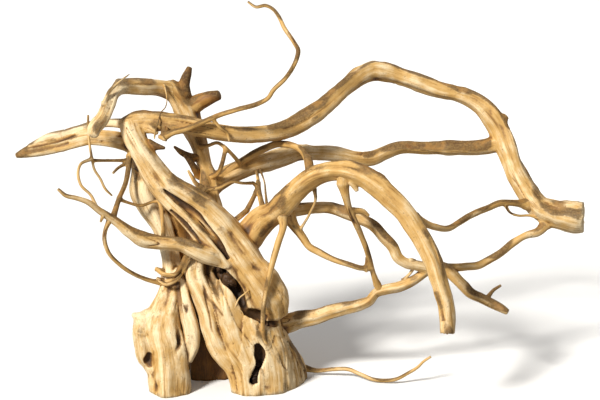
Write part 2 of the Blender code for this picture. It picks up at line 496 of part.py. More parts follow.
def build():
    """The whole piece of driftwood as one object."""
    clear_scene()
    scene = bpy.context.scene.collection
    growth = bpy.data.collections.new("growth")
    scene.children.link(growth)
    paths = {}
    pieces = []
    for seed, limb in enumerate((*STUMP, *LIMBS)):
        paths[limb.name] = limb_path(limb, paths)
        pieces.append(limb_object(limb, paths[limb.name], seed))
    for twig in TWIGS:
        paths[twig.name] = smooth_path([Stop(*stop) for stop in twig.route])
    for seed, twig in enumerate(TWIGS, start=len(pieces)):
        pieces.append(limb_object(twig, limb_path(twig, paths), seed))

    trunk = pieces[0]
    trunk.name = NODE
    trunk.data.name = NODE
    scene.objects.link(trunk)
    for piece in pieces[1:]:
        growth.objects.link(piece)
    apply_boolean(trunk, "UNION", operand_type="COLLECTION", collection=growth)
    for piece in pieces[1:]:
        bpy.data.objects.remove(piece, do_unlink=True)
    bpy.data.collections.remove(growth)
    for hollow in HOLLOWS:
        cutter = limb_object(hollow, smooth_path([Stop(*stop) for stop in hollow.route]), 0)
        scene.objects.link(cutter)
        apply_boolean(trunk, "DIFFERENCE", object=cutter)
        bpy.data.objects.remove(cutter, do_unlink=True)
    keep_largest_shell(trunk)
    thin_out(trunk)

    block = floor_block()
    scene.objects.link(block)
    apply_boolean(trunk, "DIFFERENCE", object=block)
    bpy.data.objects.remove(block, do_unlink=True)

    trunk.data.materials.clear()
    trunk.data.materials.append(wood_material())
    trunk.data.shade_smooth()
    trunk.data.set_sharp_from_angle(angle=CREASE_ANGLE)


build()
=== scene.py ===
"""Aquarium driftwood, the looks: the grown surface of one piece of root wood, its grain, bark and hollows.

The limbs' routes are those of the solid. They are swept, melted into one skin, eased into each other where
they meet, and then carved with fissures, cracks, knots and bark. Lengths are in millimetres unless a name
says otherwise, and meshes are written in metres.
"""

import logging
import math
from dataclasses import dataclass
from enum import Enum
from typing import NamedTuple, Sequence

import bpy
import numpy as np
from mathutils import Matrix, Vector

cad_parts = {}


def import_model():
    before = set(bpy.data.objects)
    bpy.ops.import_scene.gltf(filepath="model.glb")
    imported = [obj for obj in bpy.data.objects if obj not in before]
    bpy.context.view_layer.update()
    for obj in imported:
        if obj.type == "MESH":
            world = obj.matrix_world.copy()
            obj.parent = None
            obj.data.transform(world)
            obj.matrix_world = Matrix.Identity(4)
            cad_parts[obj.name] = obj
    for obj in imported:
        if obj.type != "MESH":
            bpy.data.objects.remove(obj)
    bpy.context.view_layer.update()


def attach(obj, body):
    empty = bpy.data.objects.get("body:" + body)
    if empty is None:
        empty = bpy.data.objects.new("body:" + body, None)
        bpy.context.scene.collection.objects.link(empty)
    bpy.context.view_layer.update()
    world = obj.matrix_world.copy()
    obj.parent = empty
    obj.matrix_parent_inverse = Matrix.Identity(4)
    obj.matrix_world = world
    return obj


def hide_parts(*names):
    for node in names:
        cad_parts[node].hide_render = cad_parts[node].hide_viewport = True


LOG = logging.getLogger("driftwood")
NODE = "driftwood"
BODY = "root"
MM = 0.001


class Tip(Enum):
    """How a limb ends."""

    ROUNDED = "rounded"
    SAWN = "sawn"


@dataclass(frozen=True)
class View:
    """The front view in which the routes are laid: across to the right, up, and depth away from the eye."""

    tilt: float = math.radians(15.0)
    distance: float = 1400.0
    height: float = 147.6
    centre_across: float = 0.15
    centre_away: float = -5.65

    @property
    def away(self) -> np.ndarray:
        """The direction of sight."""
        return np.array((0.0, math.cos(self.tilt), -math.sin(self.tilt)))

    @property
    def upward(self) -> np.ndarray:
        """The direction that the view shows as up."""
        return np.array((0.0, math.sin(self.tilt), math.cos(self.tilt)))

    @property
    def middle(self) -> np.ndarray:
        """The point that the view looks at."""
        return np.array((-self.centre_across, -self.centre_away, self.height))

    def place(self, stops: np.ndarray) -> np.ndarray:
        """World points of stops.

        Args:
            stops: rows of across, up and depth.

        Returns:
            Rows of X, Y and Z.
        """
        spread = 1.0 + stops[:, 2:3] / self.distance
        flat = stops[:, 0:1] * np.array((1.0, 0.0, 0.0)) + stops[:, 1:2] * self.upward
        return self.middle + stops[:, 2:3] * self.away + flat * spread


@dataclass(frozen=True)
class Limb:
    """A limb: its route, its carriers, how uneven its girth is, how deep it is for its width, and its tip."""

    name: str
    route: tuple
    grows_from: str = ""
    lands_on: str = ""
    gnarl: float = 0.0
    deep: float = 1.0
    tip: Tip = Tip.ROUNDED


class Tone(NamedTuple):
    """A limb's colouring at its root and its tip, each 0 to 1."""

    pale: float
    bark: float
    pale_end: float
    bark_end: float


# The stump: sunken lobes side by side make its ridges, fissures and feet
STUMP = (
    Limb("leg", ((-103, -58, 9, 7.6), (-104, -72, 6, 8.6), (-108, -88, 4, 12), (-110, -104, 3, 15.4),
        (-106, -120, 3, 15.4), (-105, -138, 3, 15.8), (-105, -168, 3, 16.2)), gnarl=0.06),
    Limb("leg_lobe", ((-120, -92, 3, 4), (-125, -102, 2, 7), (-124, -115, 2, 8.4), (-122, -127, 3, 7.2),
        (-120, -132, 3, 4)), gnarl=0.08),
    Limb("leg_spur", ((-123, -99, 1, 4.4), (-129, -94, -1, 3), (-134, -91, -3, 1.2))),
    Limb("leg_strand", ((-100, -58, 4, 4.5), (-96, -67, 2, 5), (-93, -80, 0, 5.6), (-90, -92, -1, 6),
        (-87, -104, -1, 6), (-87, -116, 0, 5.4), (-91, -127, 0, 4.4)), gnarl=0.08),
    Limb("pale_trunk", ((-131, 50, 4, 6.5), (-128, 36, 8, 8), (-125, 22, 12, 10), (-124, 8, 14, 11.6),
        (-118, -6, 15, 10.4), (-111, -20, 14, 8.8), (-106, -36, 13, 8), (-103, -52, 10, 7.6),
        (-103, -66, 6, 7.8)), gnarl=0.06),
    Limb("recess_back", ((-120, 22, 14, 6), (-112, 9, 21, 8.4), (-101, -8, 26, 9.6), (-91, -26, 28, 10.6),
        (-85, -46, 28, 11), (-82, -66, 29, 10)), gnarl=0.07),
    Limb("neck_back", ((-102, -14, 20, 5), (-98, -30, 24, 7.4), (-95, -46, 25, 8), (-92, -64, 26, 8),
        (-86, -86, 29, 9)), gnarl=0.06),
    Limb("spine", ((-136, 61, 0, 7.4), (-133, 53, -2, 8.2), (-128, 43, -4, 8.2), (-121, 33, -5, 7.8),
        (-113, 22, -5, 7.8), (-103, 11, -6, 8.6), (-90, 2, -6, 9.6), (-76, -8, -6, 10.4),
        (-63, -21, -6, 10.8), (-52, -36, -5, 11.2), (-41, -52, -4, 12), (-29, -68, -2, 13.2),
        (-23, -80, 1, 13.2), (-20, -90, 4, 9.8)), gnarl=0.06),
    Limb("front_strand", ((-131, 38, -2, 5), (-126, 28, -4, 5.4), (-118, 15, -5, 5.2), (-110, 4, -6, 5.4),
        (-96, -10, -8, 5.8), (-83, -25, -10, 6), (-71, -38, -10, 6), (-60, -52, -8, 5.6)), gnarl=0.08),
    Limb("left_ridge", ((-74, -32, 4, 7), (-82, -48, 2, 8), (-83, -60, 1, 8.5), (-77, -74, 0, 8.8),
        (-71, -88, 0, 9.2), (-67, -102, 0, 9.8), (-60, -117, 2, 10.4), (-49, -133, 4, 10.2),
        (-44, -166, 5, 9.4)), gnarl=0.08, deep=1.3),
    Limb("middle_ridge", ((-60, -30, 10, 11), (-57, -46, 8, 14), (-55, -64, 8, 15.5), (-50, -88, 8, 16.5),
        (-42, -112, 10, 16.5), (-34, -132, 12, 16.5), (-30, -168, 14, 16.5)), gnarl=0.06, deep=1.15),
    Limb("right_ridge", ((-36, -70, 10, 13), (-31, -84, 11, 13.6), (-30, -104, 13, 13), (-23, -120, 17, 12.6),
        (-15, -134, 21, 13.6), (-13, -164, 23, 13.6)), gnarl=0.06),
    Limb("apron", ((-38, -94, 8, 12), (-32, -112, 8, 16), (-29, -130, 10, 18), (-26, -168, 13, 19)),
        gnarl=0.05),
    Limb("right_heel", ((-20, -108, 22, 8), (-12, -120, 27, 8), (-5, -131, 32, 8.2), (-2, -154, 36, 8.4)),
        gnarl=0.07),
    Limb("back_wall", ((-78, -36, 18, 9), (-79, -54, 24, 11.5), (-80, -78, 29, 12.5), (-78, -104, 32, 12.5),
        (-76, -130, 33, 11.5), (-76, -160, 34, 11)), gnarl=0.08),
    Limb("back_rib", ((-60, -36, 12, 9), (-61, -56, 23, 11.5), (-60, -84, 32, 13), (-61, -110, 35, 12),
        (-64, -132, 36, 10.5), (-65, -158, 37, 10)), gnarl=0.08),
    Limb("back_buttress", ((-76, 8, 14, 5), (-73, -6, 19, 8), (-70, -24, 24, 10.5), (-68, -46, 32, 12.5),
        (-66, -70, 41, 14), (-70, -94, 48, 14.5), (-77, -116, 53, 13.5), (-80, -154, 59, 13.5)), gnarl=0.07),
    Limb("back_flank", ((-54, -24, 2, 6), (-50, -38, 12, 9), (-46, -54, 21, 11.5), (-37, -72, 29, 13.5),
        (-34, -94, 36, 14), (-31, -114, 41, 13), (-24, -150, 49, 12.5)), gnarl=0.07),
)

# The limbs and stubs
LIMBS = (
    Limb("upper_limb", ((-139, 60, 2, 6.2), (-131, 63, 0, 7.2), (-120, 63, -1, 7), (-100, 62, -3, 6.8),
        (-80, 58, -4, 6.4), (-60, 54, 0, 6), (-40, 52, 5, 6), (-22, 54, 10, 6.4), (-8, 58, 16, 7.2),
        (8, 67, 23, 7.6), (24, 80, 31, 6.8), (40, 94, 39, 7), (48, 100, 42, 7.6), (58, 104, 45, 8),
        (68, 103, 45, 7.5), (80, 99, 45, 6.4), (96, 94, 44, 7), (112, 88, 43, 6), (122, 86, 43, 5.7),
        (132, 83, 42, 6.2), (144, 76, 41, 7.2), (152, 68, 40, 8), (158, 59, 40, 7.7), (162, 51, 39, 8),
        (166, 40, 37, 8), (170, 29, 34, 7.2), (175, 18, 31, 8), (182, 6, 27, 8.2), (192, -6, 24, 10),
        (204, -11, 22, 11.4), (214, -13, 20, 12.4), (221, -14, 20, 13), (226, -14, 19, 12)), gnarl=0.05,
        tip=Tip.SAWN),
    Limb("arch_limb", ((-42, -30, 6, 11), (-30, -15, 0, 10), (-19, -8, -8, 8.6), (-8, 4, -18, 8.4),
        (4, 15, -27, 7.8), (16, 22, -34, 7.6), (28, 24, -40, 7.6), (40, 23, -45, 8), (52, 18, -48, 7.7),
        (62, 11, -50, 8), (74, 0, -52, 7.2), (84, -10, -54, 6.8), (92, -22, -55, 6.8), (100, -36, -56, 6.8),
        (106, -50, -57, 6.8), (110, -64, -58, 6.4), (115, -80, -59, 6), (117, -93, -60, 6),
        (117, -106, -60, 5.4)), gnarl=0.05, tip=Tip.SAWN),
    Limb("middle_limb", ((-76, 4, 18, 7), (-67, 14, 26, 7.2), (-54, 22, 31, 7.2), (-44, 26, 35, 7.2),
        (-30, 30, 38, 7.2), (-16, 34, 42, 7.6), (-2, 38, 45, 6), (12, 38, 48, 5.6), (28, 37, 51, 5.6),
        (44, 34, 54, 4.9), (56, 33, 55, 5.6), (68, 38, 54, 5.2), (80, 42, 52, 4.8), (96, 42, 50, 4.8),
        (110, 42, 48, 5.2), (117, 42, 47, 6), (124, 42, 46, 5.3), (134, 42, 45, 5.2), (148, 43, 43, 5.8),
        (160, 46, 40, 6.4)), gnarl=0.05),
    Limb("rear_riser", ((-105, 91, 24, 6.4), (-101, 87, 25, 7.4), (-96, 80, 27, 8.2), (-90, 68, 28, 8.8),
        (-86, 56, 29, 8), (-82, 46, 29, 6.8), (-78, 32, 27, 6.2), (-74, 16, 21, 6.6), (-73, 2, 15, 8),
        (-70, -14, 12, 9.5)), gnarl=0.06),
    Limb("yoke", ((-146, 91, 1, 5.2), (-138, 91, 5, 5.6), (-126, 90, 10, 6), (-113, 90, 18, 6.2),
        (-100, 86, 26, 6.6)), gnarl=0.05),
    Limb("hooked_limb", ((-166, 53, -21, 4.2), (-165, 57, -20, 5.1), (-159, 64, -17, 5), (-154, 75, -12, 4.8),
        (-150, 85, -5, 4.8), (-144, 91, 2, 5.2)), gnarl=0.06),
    Limb("hook_splinter", ((-158, 78, -17, 1), (-153, 87, -15, 1), (-145, 95, -11, 0.8),
        (-137, 101, -7, 0.4)), grows_from="hooked_limb"),
    Limb("left_spar", ((-227, 36, 12, 1.6), (-220, 38, 13, 4), (-208, 41, 13, 5.4), (-196, 43, 13, 5.2),
        (-184, 46, 11, 4.8), (-170, 50, 8, 5.4), (-152, 49, 8, 5.6), (-138, 46, 8, 6.4), (-126, 40, 4, 6.6)),
        gnarl=0.07),
    Limb("spar_strand", ((-216, 43, 13, 1.8), (-204, 50, 14, 2.4), (-192, 53, 14, 2.8), (-176, 57, 12, 3),
        (-164, 61, 11, 3), (-150, 62, 9, 3.1), (-138, 61, 4, 4))),
    Limb("horn", ((-94, 84, 24, 5.4), (-93, 93, 24, 3.8), (-91, 100, 23, 3), (-89, 106, 23, 1.8))),
    Limb("stub", ((-90, 72, 27, 6), (-80, 79, 24, 6), (-73, 82, 22, 5.2), (-66, 84, 20, 3.8))),
    Limb("side_root", ((-194, 9, -45, 1), (-188, 4, -43, 1.3), (-180, 2, -40, 1.5), (-171, -1, -37, 1.7),
        (-160, -9, -31, 2.2), (-148, -17, -25, 3), (-136, -26, -22, 4.3), (-127, -31, -19, 6),
        (-112, -34, -17, 5.4), (-96, -35, -16, 5.4), (-80, -42, -15, 6.6), (-69, -46, -10, 6.4),
        (-60, -48, 2, 5)), gnarl=0.05),
    Limb("under_limb", ((-20, -8, -2, 6), (-8, -8, -2, 5), (8, -6, -3, 4.5), (24, -6, -4, 4.4),
        (36, -10, -5, 4.3), (48, -15, -5, 4), (58, -20, -5, 4), (66, -29, -4, 4), (74, -38, -2, 4),
        (78, -46, -1, 4), (84, -50, 0, 3.9), (92, -52, 2, 3.9), (102, -54, 5, 3.9), (114, -55, 7, 3.8)),
        gnarl=0.04),
    Limb("dark_branch", ((110, -55, 6, 3.4), (118, -54, 8, 2.9), (132, -53, 10, 2.6), (142, -52, 12, 2.6),
        (150, -48, 13, 2.6), (160, -42, 14, 2.5), (170, -34, 17, 2.5), (180, -28, 18, 2.5), (190, -25, 20, 3),
        (197, -18, 22, 4))),
    Limb("fork", ((112, -54, 7, 3.4), (118, -57, 6, 3.8), (124, -62, 4, 4), (130, -68, 2, 3.8),
        (136, -74, 0, 3.6), (144, -78, -2, 3.6), (152, -82, -3, 3.4), (160, -86, -4, 2.9),
        (165, -89, -5, 2))),
    Limb("low_branch", ((-20, -100, 22, 8), (-10, -98, 24, 7), (0, -95, 22, 6), (12, -93, 19, 5),
        (24, -89, 16, 4.8), (36, -86, 13, 4.5), (48, -83, 11, 4.1), (55, -80, 10, 3.5), (60, -74, 10, 3.2),
        (68, -71, 9, 3.6), (78, -69, 8, 3.9), (90, -64, 7, 3.2), (103, -55, 6, 3)), gnarl=0.05),
)

# Slender branches and rootlets
TWIGS = (
    Limb("whip", ((-109, 51, -11, 2.6), (-103, 54, -13, 1.9), (-92, 57, -14, 1.8), (-80, 62, -15, 1.7),
        (-66, 68, -16, 1.6), (-50, 73, -21, 1.5), (-33, 78, -28, 1.5), (-26, 82, -32, 1.4),
        (-22, 88, -36, 1.4), (-12, 98, -42, 1.4), (-6, 107, -47, 1.4), (-3, 114, -50, 1.4),
        (-2, 120, -49, 1.4), (-5, 126, -46, 1.3), (-13, 138, -41, 1.3), (-18, 148, -36, 1.2),
        (-22, 153, -34, 1.1), (-28, 156, -32, 1.1), (-36, 155, -31, 1), (-42, 159, -30, 0.8)),
        grows_from="upper_limb"),
    Limb("whip_side", ((-70, 65, -15, 1.1), (-64, 58, -13, 1), (-59, 54, -9, 1), (-57, 48, -8, 0.9)),
        grows_from="whip"),
    Limb("bridge", ((91, -15, -50, 3), (99, -18, -45, 2.4), (107, -21, -39, 2.1), (119, -22, -27, 2),
        (126, -18, -20, 2), (134, -13, -13, 2.1), (142, -9, -6, 2.2), (150, -6, 1, 2.2), (160, -2, 8, 2.2),
        (170, -2, 14, 2.1), (182, -3, 21, 2.6)), grows_from="arch_limb", lands_on="upper_limb"),
    Limb("bridge_side", ((164, -4, 10, 1.1), (167, -9, 12, 0.9), (174, -12, 16, 0.9), (183, -12, 19, 0.9),
        (192, -14, 20, 1.1)), grows_from="bridge", lands_on="upper_limb"),
    Limb("prop", ((34, 13, -42, 3.4), (36, 4, -40, 2.6), (39, -7, -34, 2.2), (44, -18, -27, 2),
        (48, -27, -20, 1.9), (52, -37, -13, 1.8), (55, -47, -6, 1.8), (58, -58, 1, 1.8), (61, -67, 7, 2.3)),
        grows_from="arch_limb", lands_on="low_branch"),
    Limb("prop_stub", ((42, -8, -31, 1.8), (50, -9, -28, 1.7), (54, -12, -26, 1.3)), grows_from="prop"),
    Limb("curved_twig", ((-10, -12, -5, 3.4), (-6, -19, -4, 3), (2, -30, -2, 2.8), (7, -37, -2, 2.5),
        (14, -41, -3, 2.3), (26, -47, -5, 2), (38, -51, -6, 1.8), (48, -54, -5, 1.7), (56, -54, -2, 1.7)),
        grows_from="under_limb", lands_on="prop"),
    Limb("curved_spur", ((53, -54, -4, 1.4), (53, -46, -7, 1)), grows_from="curved_twig"),
    Limb("thin_twig", ((11, 9, -28, 1.3), (12, 2, -25, 1), (8, -9, -16, 0.9), (3, -18, -8, 0.9),
        (-1, -24, -3, 1)), grows_from="arch_limb", lands_on="curved_twig"),
    Limb("front_vine", ((-15, -8, -12, 2.6), (-14, -21, -15, 2.3), (-18, -34, -17, 2.2), (-22, -48, -18, 2),
        (-25, -60, -18, 1.7), (-28, -74, -17, 1.5), (-30, -90, -14, 1.4), (-30, -104, -9, 1.3),
        (-28, -114, -7, 1.3), (-24, -122, -3, 1.2)), grows_from="arch_limb", lands_on="middle_ridge"),
    Limb("floor_root", ((3, -134, 33, 1.9), (12, -136, 33, 1.5), (26, -135, 30, 1.3), (38, -135, 26, 1.3),
        (48, -139, 22, 1.3), (58, -143, 18, 1.3), (66, -144, 17, 1.3), (76, -143, 15, 1.2),
        (86, -138, 14, 1.1), (94, -133, 12, 1), (98, -129, 12, 0.9), (104, -125, 11, 0.8)),
        grows_from="right_heel"),
    Limb("vein", ((-70, 14, 24, 3), (-60, 22, 26, 2.8), (-46, 32, 27, 2.6), (-36, 38, 27, 2.6),
        (-28, 42, 25, 2.5), (-20, 45, 21, 2.4), (-12, 45, 14, 2.4), (-4, 43, 4, 2.3), (2, 39, -6, 2.4),
        (6, 33, -16, 2.8)), grows_from="middle_limb", lands_on="arch_limb"),
    Limb("fork_twig", ((150, -77, -2, 1.3), (154, -72, -1, 1.1), (160, -68, 0, 0.9)), grows_from="fork"),
    Limb("link_twig", ((90, -48, 0, 1.1), (90, -54, 3, 1), (86, -60, 6, 1), (82, -64, 8, 1.1)),
        grows_from="under_limb", lands_on="low_branch"),
    Limb("chain", ((-137, 36, 2, 2), (-138, 24, -2, 1.7), (-140, 14, -6, 1.6), (-145, 2, -12, 1.6),
        (-150, -13, -23, 1.8)), grows_from="spine", lands_on="side_root"),
    Limb("chain_side", ((-139, 30, 0, 1.1), (-146, 26, -4, 1), (-150, 22, -8, 0.8)), grows_from="chain"),
    Limb("loop_root", ((-153, -16, -27, 1.5), (-156, -23, -28, 1.3), (-157, -30, -28, 1.3),
        (-154, -41, -25, 1.3), (-145, -51, -19, 1.3), (-133, -59, -11, 1.3), (-120, -64, -3, 1.4),
        (-111, -66, 1, 1.7)), grows_from="side_root", lands_on="leg"),
    Limb("hanging_root", ((-170, 68, -14, 0.8), (-170, 58, -18, 0.9), (-169, 46, -23, 0.9),
        (-167, 34, -23, 0.9), (-165, 25, -20, 0.9), (-160, 17, -17, 0.9), (-156, 9, -15, 0.9),
        (-151, 4, -14, 0.7))),
    Limb("bow_root", ((-164, -5, -33, 1.3), (-167, 3, -33, 1), (-176, 13, -35, 1), (-178, 22, -34, 1),
        (-176, 29, -30, 1), (-168, 33, -24, 1.1)), grows_from="side_root", lands_on="hanging_root"),
    Limb("cross_root", ((-139, 32, 1, 1.2), (-152, 32, -9, 1), (-165, 32, -20, 1.1)), grows_from="chain",
        lands_on="hanging_root"),
    Limb("lying_root", ((-145, 1, -12, 1.1), (-137, -2, -9, 1), (-128, -4, -5, 1), (-118, -1, -2, 1),
        (-111, 0, -2, 1.1)), grows_from="chain", lands_on="front_strand"),
    Limb("trunk_vine", ((-112, -2, -2, 1.4), (-111, -12, -5, 1.3), (-110, -22, -10, 1.3),
        (-110, -30, -17, 1.4)), grows_from="front_strand", lands_on="side_root"),
    Limb("neck_vine", ((-108, -66, -3, 1.6), (-102, -62, -6, 1.5), (-97, -55, -7, 1.5), (-91, -44, -11, 1.6)),
        grows_from="leg", lands_on="side_root"),
    Limb("knot_vine", ((-115, -55, -3, 1.4), (-109, -59, -9, 1.4), (-101, -59, -10, 1.2),
        (-95, -52, -9, 1.2)), grows_from="leg", lands_on="side_root"),
    Limb("knot_loop", ((-114, -63, -4, 1.3), (-107, -67, -9, 1.2), (-100, -64, -9, 1.1), (-95, -58, -7, 1.1)),
        grows_from="leg", lands_on="side_root"),
    Limb("hip_vine", ((-56, -90, -9, 0.8), (-52, -84, -11, 0.7), (-49, -78, -13, 0.6), (-44, -74, -14, 0.7)),
        grows_from="middle_ridge", lands_on="spine"),
    Limb("hip_twist", ((-53, -86, -10, 0.6), (-48, -88, -10, 0.5), (-45, -93, -8, 0.5), (-41, -98, -7, 0.7)),
        grows_from="middle_ridge", lands_on="middle_ridge"),
    Limb("nub", ((-158, -12, -31, 1.2), (-160, -17, -31, 0.7)), grows_from="side_root"),
    Limb("yoke_vine", ((-109, 92, 12, 0.9), (-107, 82, 9, 0.5), (-108, 75, 2, 0.5), (-112, 70, -6, 0.5),
        (-114, 63, -11, 0.5), (-116, 56, -11, 0.5), (-117, 50, -7, 0.6)), grows_from="yoke",
        lands_on="upper_limb"),
    Limb("upper_claw", ((-84, 34, 22, 2.4), (-90, 36, 17, 2.2), (-96, 39, 12, 1.8), (-101, 43, 9, 0.9)),
        grows_from="rear_riser"),
    Limb("lower_claw", ((-82, 20, 22, 2.2), (-85, 26, 17, 2.2), (-89, 32, 13, 1.6), (-93, 36, 11, 0.8)),
        grows_from="rear_riser"),
    Limb("thorn", ((-77, 9, -3, 1.8), (-84, 14, -5, 1.4), (-87, 19, -6, 1.2), (-90, 24, -7, 0.8)),
        grows_from="spine"),
    Limb("wavy_twig", ((-76, 9, -3, 1.5), (-66, 10, -2, 1.2), (-55, 15, 0, 1), (-47, 14, 5, 1),
        (-38, 14, 16, 1.1)), grows_from="spine", lands_on="fine_root"),
    Limb("high_twig", ((-81, 43, 24, 1.6), (-74, 44, 15, 1.2), (-66, 46, 8, 1.1), (-60, 42, 5, 1.2),
        (-54, 36, 10, 1.2), (-49, 30, 22, 1.4)), grows_from="rear_riser", lands_on="middle_limb"),
    Limb("high_twig_leg", ((-60, 41, 5, 1.3), (-63, 29, 6, 1.4), (-66, 22, 12, 1.5), (-71, 19, 17, 1.7)),
        grows_from="high_twig", lands_on="rear_riser"),
    Limb("fine_root", ((-35, 23, 30, 1), (-34, 13, 21, 1.2), (-37, 4, 14, 1.5), (-43, -8, 8, 1.8)),
        grows_from="middle_limb", lands_on="spine"),
    Limb("fine_root_fork", ((-34, 14, 21, 1.3), (-33, 6, 14, 1.6), (-31, -3, 7, 1.8)), grows_from="fine_root",
        lands_on="arch_limb"),
    Limb("fine_root_side", ((-32, 24, 31, 0.8), (-29, 15, 22, 0.7), (-28, 6, 11, 0.8), (-27, -3, 3, 1)),
        grows_from="middle_limb", lands_on="arch_limb"),
)

# Knobs and broken stubs on the limbs
KNOBS = (
    Limb("limb_knob", ((-122, 58, -4, 3.4), (-118, 56, -8, 2.4), (-115, 54, -9, 1.4))),
    Limb("limb_boss", ((158, 61, 39, 4), (164, 67, 37, 2.4))),
    Limb("arch_boss", ((60, 14, -51, 4), (65, 20, -51, 1.6))),
    Limb("arch_nub", ((41, 15, -46, 2.6), (45, 8, -46, 1.2))),
    Limb("spine_stub", ((-121, 45, -4, 3.4), (-114, 43, -7, 2), (-109, 42, -9, 1))),
)

# Hollows, trenches and cracks, cut as tubes that run in or just under the surface
HOLLOWS = (
    Limb("almond_hole", ((-70, -53, -9, 1.8), (-64, -57, -9, 3.8), (-57, -65, -8, 4.8), (-51, -74, -7, 4.6),
        (-46, -83, -8, 2.6), (-43, -90, -8, 1.4))),
    Limb("almond_depth", ((-67, -55, -2, 4), (-58, -65, 0, 6), (-50, -79, 1, 5), (-46, -86, 1, 3))),
    Limb("hip_hole", ((-46, -88, -9, 1.4), (-40, -90, -7, 3.2), (-34, -92, -5, 3.8), (-29, -94, -3, 2.4))),
    Limb("hip_crack", ((-34, -97, -4, 1.6), (-27, -99, -2, 2.2), (-18, -97, 1, 2.2), (-11, -92, 5, 1.8),
        (-6, -87, 10, 1.4))),
    Limb("keyhole", ((-35, -115, -7, 2), (-33, -121, -6, 4.2), (-33, -129, -4, 4), (-36, -138, -3, 4.6),
        (-38, -146, -2, 5.4), (-38, -149, -2, 3))),
    Limb("spine_hole", ((-134, 33, -1, 1.6), (-131, 28, -1, 3.6), (-128, 23, -1, 1.8))),
    Limb("upper_crevice", ((-112, 13, -9, 1.4), (-104, 5, -12, 2), (-95, -2, -13, 2.4), (-84, -11, -14, 2.6),
        (-75, -21, -14, 2.4), (-66, -34, -14, 2.6), (-59, -46, -12, 2))),
    Limb("front_split", ((-104, -8, -12, 1), (-92, -19, -14, 1.4), (-80, -34, -16, 1.2))),
    Limb("leg_wound", ((-101, -96, -15, 1.8), (-99, -104, -16, 2.8), (-100, -113, -15, 1.6))),
    Limb("knob_pit", ((-121, -123, -6, 1.8), (-122, -128, -6, 3.2), (-121, -133, -5, 1.8))),
    Limb("leg_fissure", ((-99, -66, -3, 1.6), (-98, -80, -6, 2.2), (-97, -92, -8, 2.6), (-96, -104, -8, 2.4),
        (-98, -114, -8, 1.4))),
    Limb("leg_crack", ((-109, -90, -12, 0.8), (-111, -100, -15, 1.2), (-108, -112, -15, 1.2),
        (-104, -122, -15, 0.8))),
    Limb("leg_notch", ((-92, -108, -7, 1), (-96, -114, -9, 1.4), (-100, -124, -13, 1))),
    Limb("spar_split", ((-230, 37, 7, 1.6), (-220, 39, 6, 2.2), (-209, 41, 6, 1.7), (-197, 43, 7, 1),
        (-186, 46, 6, 0.8))),
    Limb("spar_groove", ((-222, 42, 8, 1), (-204, 46, 8, 1.5), (-189, 49, 9, 1.3), (-172, 54, 8, 0.7))),
    Limb("knob_ring", ((-119, 56, -13, 1.5), (-117, 54, -13, 1.5))),
    Limb("arch_end_groove", ((104, -60, -64, 0.8), (109, -78, -65, 1.2), (114, -96, -66, 1.2))),
    Limb("heel_crack", ((-27, -114, 2, 0.9), (-20, -126, 4, 1.2), (-8, -135, 16, 1.2), (2, -137, 24, 1))),
)

# Where bark is left, as strokes that lie over the limbs
BARK_STROKES = (
    Limb("limb_top", ((66, 113, 42, 6), (80, 110, 41, 7), (100, 104, 40, 7), (130, 94, 38, 8),
        (152, 81, 37, 8), (168, 62, 34, 7))),
    Limb("limb_rise", ((-24, 60, 4, 6), (-4, 66, 10, 7), (10, 78, 18, 7), (36, 102, 32, 6))),
    Limb("middle_run", ((52, 36, 50, 5), (68, 41, 48, 6), (84, 45, 46, 6), (112, 45, 42, 7),
        (150, 45, 39, 7))),
    Limb("arch_top", ((26, 33, -42, 4), (44, 32, -48, 4), (62, 22, -52, 4))),
    Limb("arch_end", ((108, -74, -64, 4), (114, -92, -66, 4), (118, -108, -65, 5))),
    Limb("arch_root", ((-36, -30, -2, 5), (-22, -16, -10, 5), (-12, -4, -18, 4))),
    Limb("under_run", ((52, -10, -6, 5), (70, -28, -6, 5), (82, -44, -4, 4))),
    Limb("spar_tip", ((-236, 35, 11, 9), (-228, 37, 11, 9), (-221, 39, 11, 6))),
    Limb("spine_step", ((-84, 2, -16, 4), (-74, -6, -17, 5), (-66, -12, -17, 4))),
    Limb("root_back", ((-170, 2, -38, 2), (-150, -12, -28, 3), (-128, -25, -23, 4), (-104, -29, -20, 4),
        (-80, -37, -19, 4))),
    Limb("heel", ((-4, -120, 18, 4), (0, -132, 22, 5), (2, -142, 26, 5))),
)


@dataclass(frozen=True)
class Fineness:
    """How finely a skin is made."""

    voxel: float
    triangles: int
    ring: float = 2.0
    sides: int = 24


@dataclass(frozen=True)
class Relief:
    """Heights of the carved surface."""

    flute: float = 0.30
    fine: float = 0.12
    lump: float = 1.5
    bump: float = 0.7
    crack: float = 1.2
    bark: float = 0.45
    knot: float = 1.2


@dataclass
class Reading:
    """What the growth says about points: how far outside it they lie, and which limb's grain they follow."""

    distance: np.ndarray
    grain: np.ndarray
    radius: np.ndarray
    pale: np.ndarray
    bark: np.ndarray
    # darkening inside cut hollows: darker inner wood and painted shade
    inner_wood_and_shade: np.ndarray
    # how deep in a crease between strands a point lies, painted as shade
    crease: np.ndarray
    limb: np.ndarray

    @property
    def spoke(self) -> np.ndarray:
        """How far out from the limb's axis a point is: 1 on its side, and less on its end."""
        return np.hypot(self.grain[:, 0], self.grain[:, 1]) / self.radius


def smoothstep(low: float, high: float, value: np.ndarray) -> np.ndarray:
    """An eased step from 0 at low to 1 at high."""
    share = np.clip((value - low) / (high - low), 0.0, 1.0)
    return share * share * (3.0 - 2.0 * share)


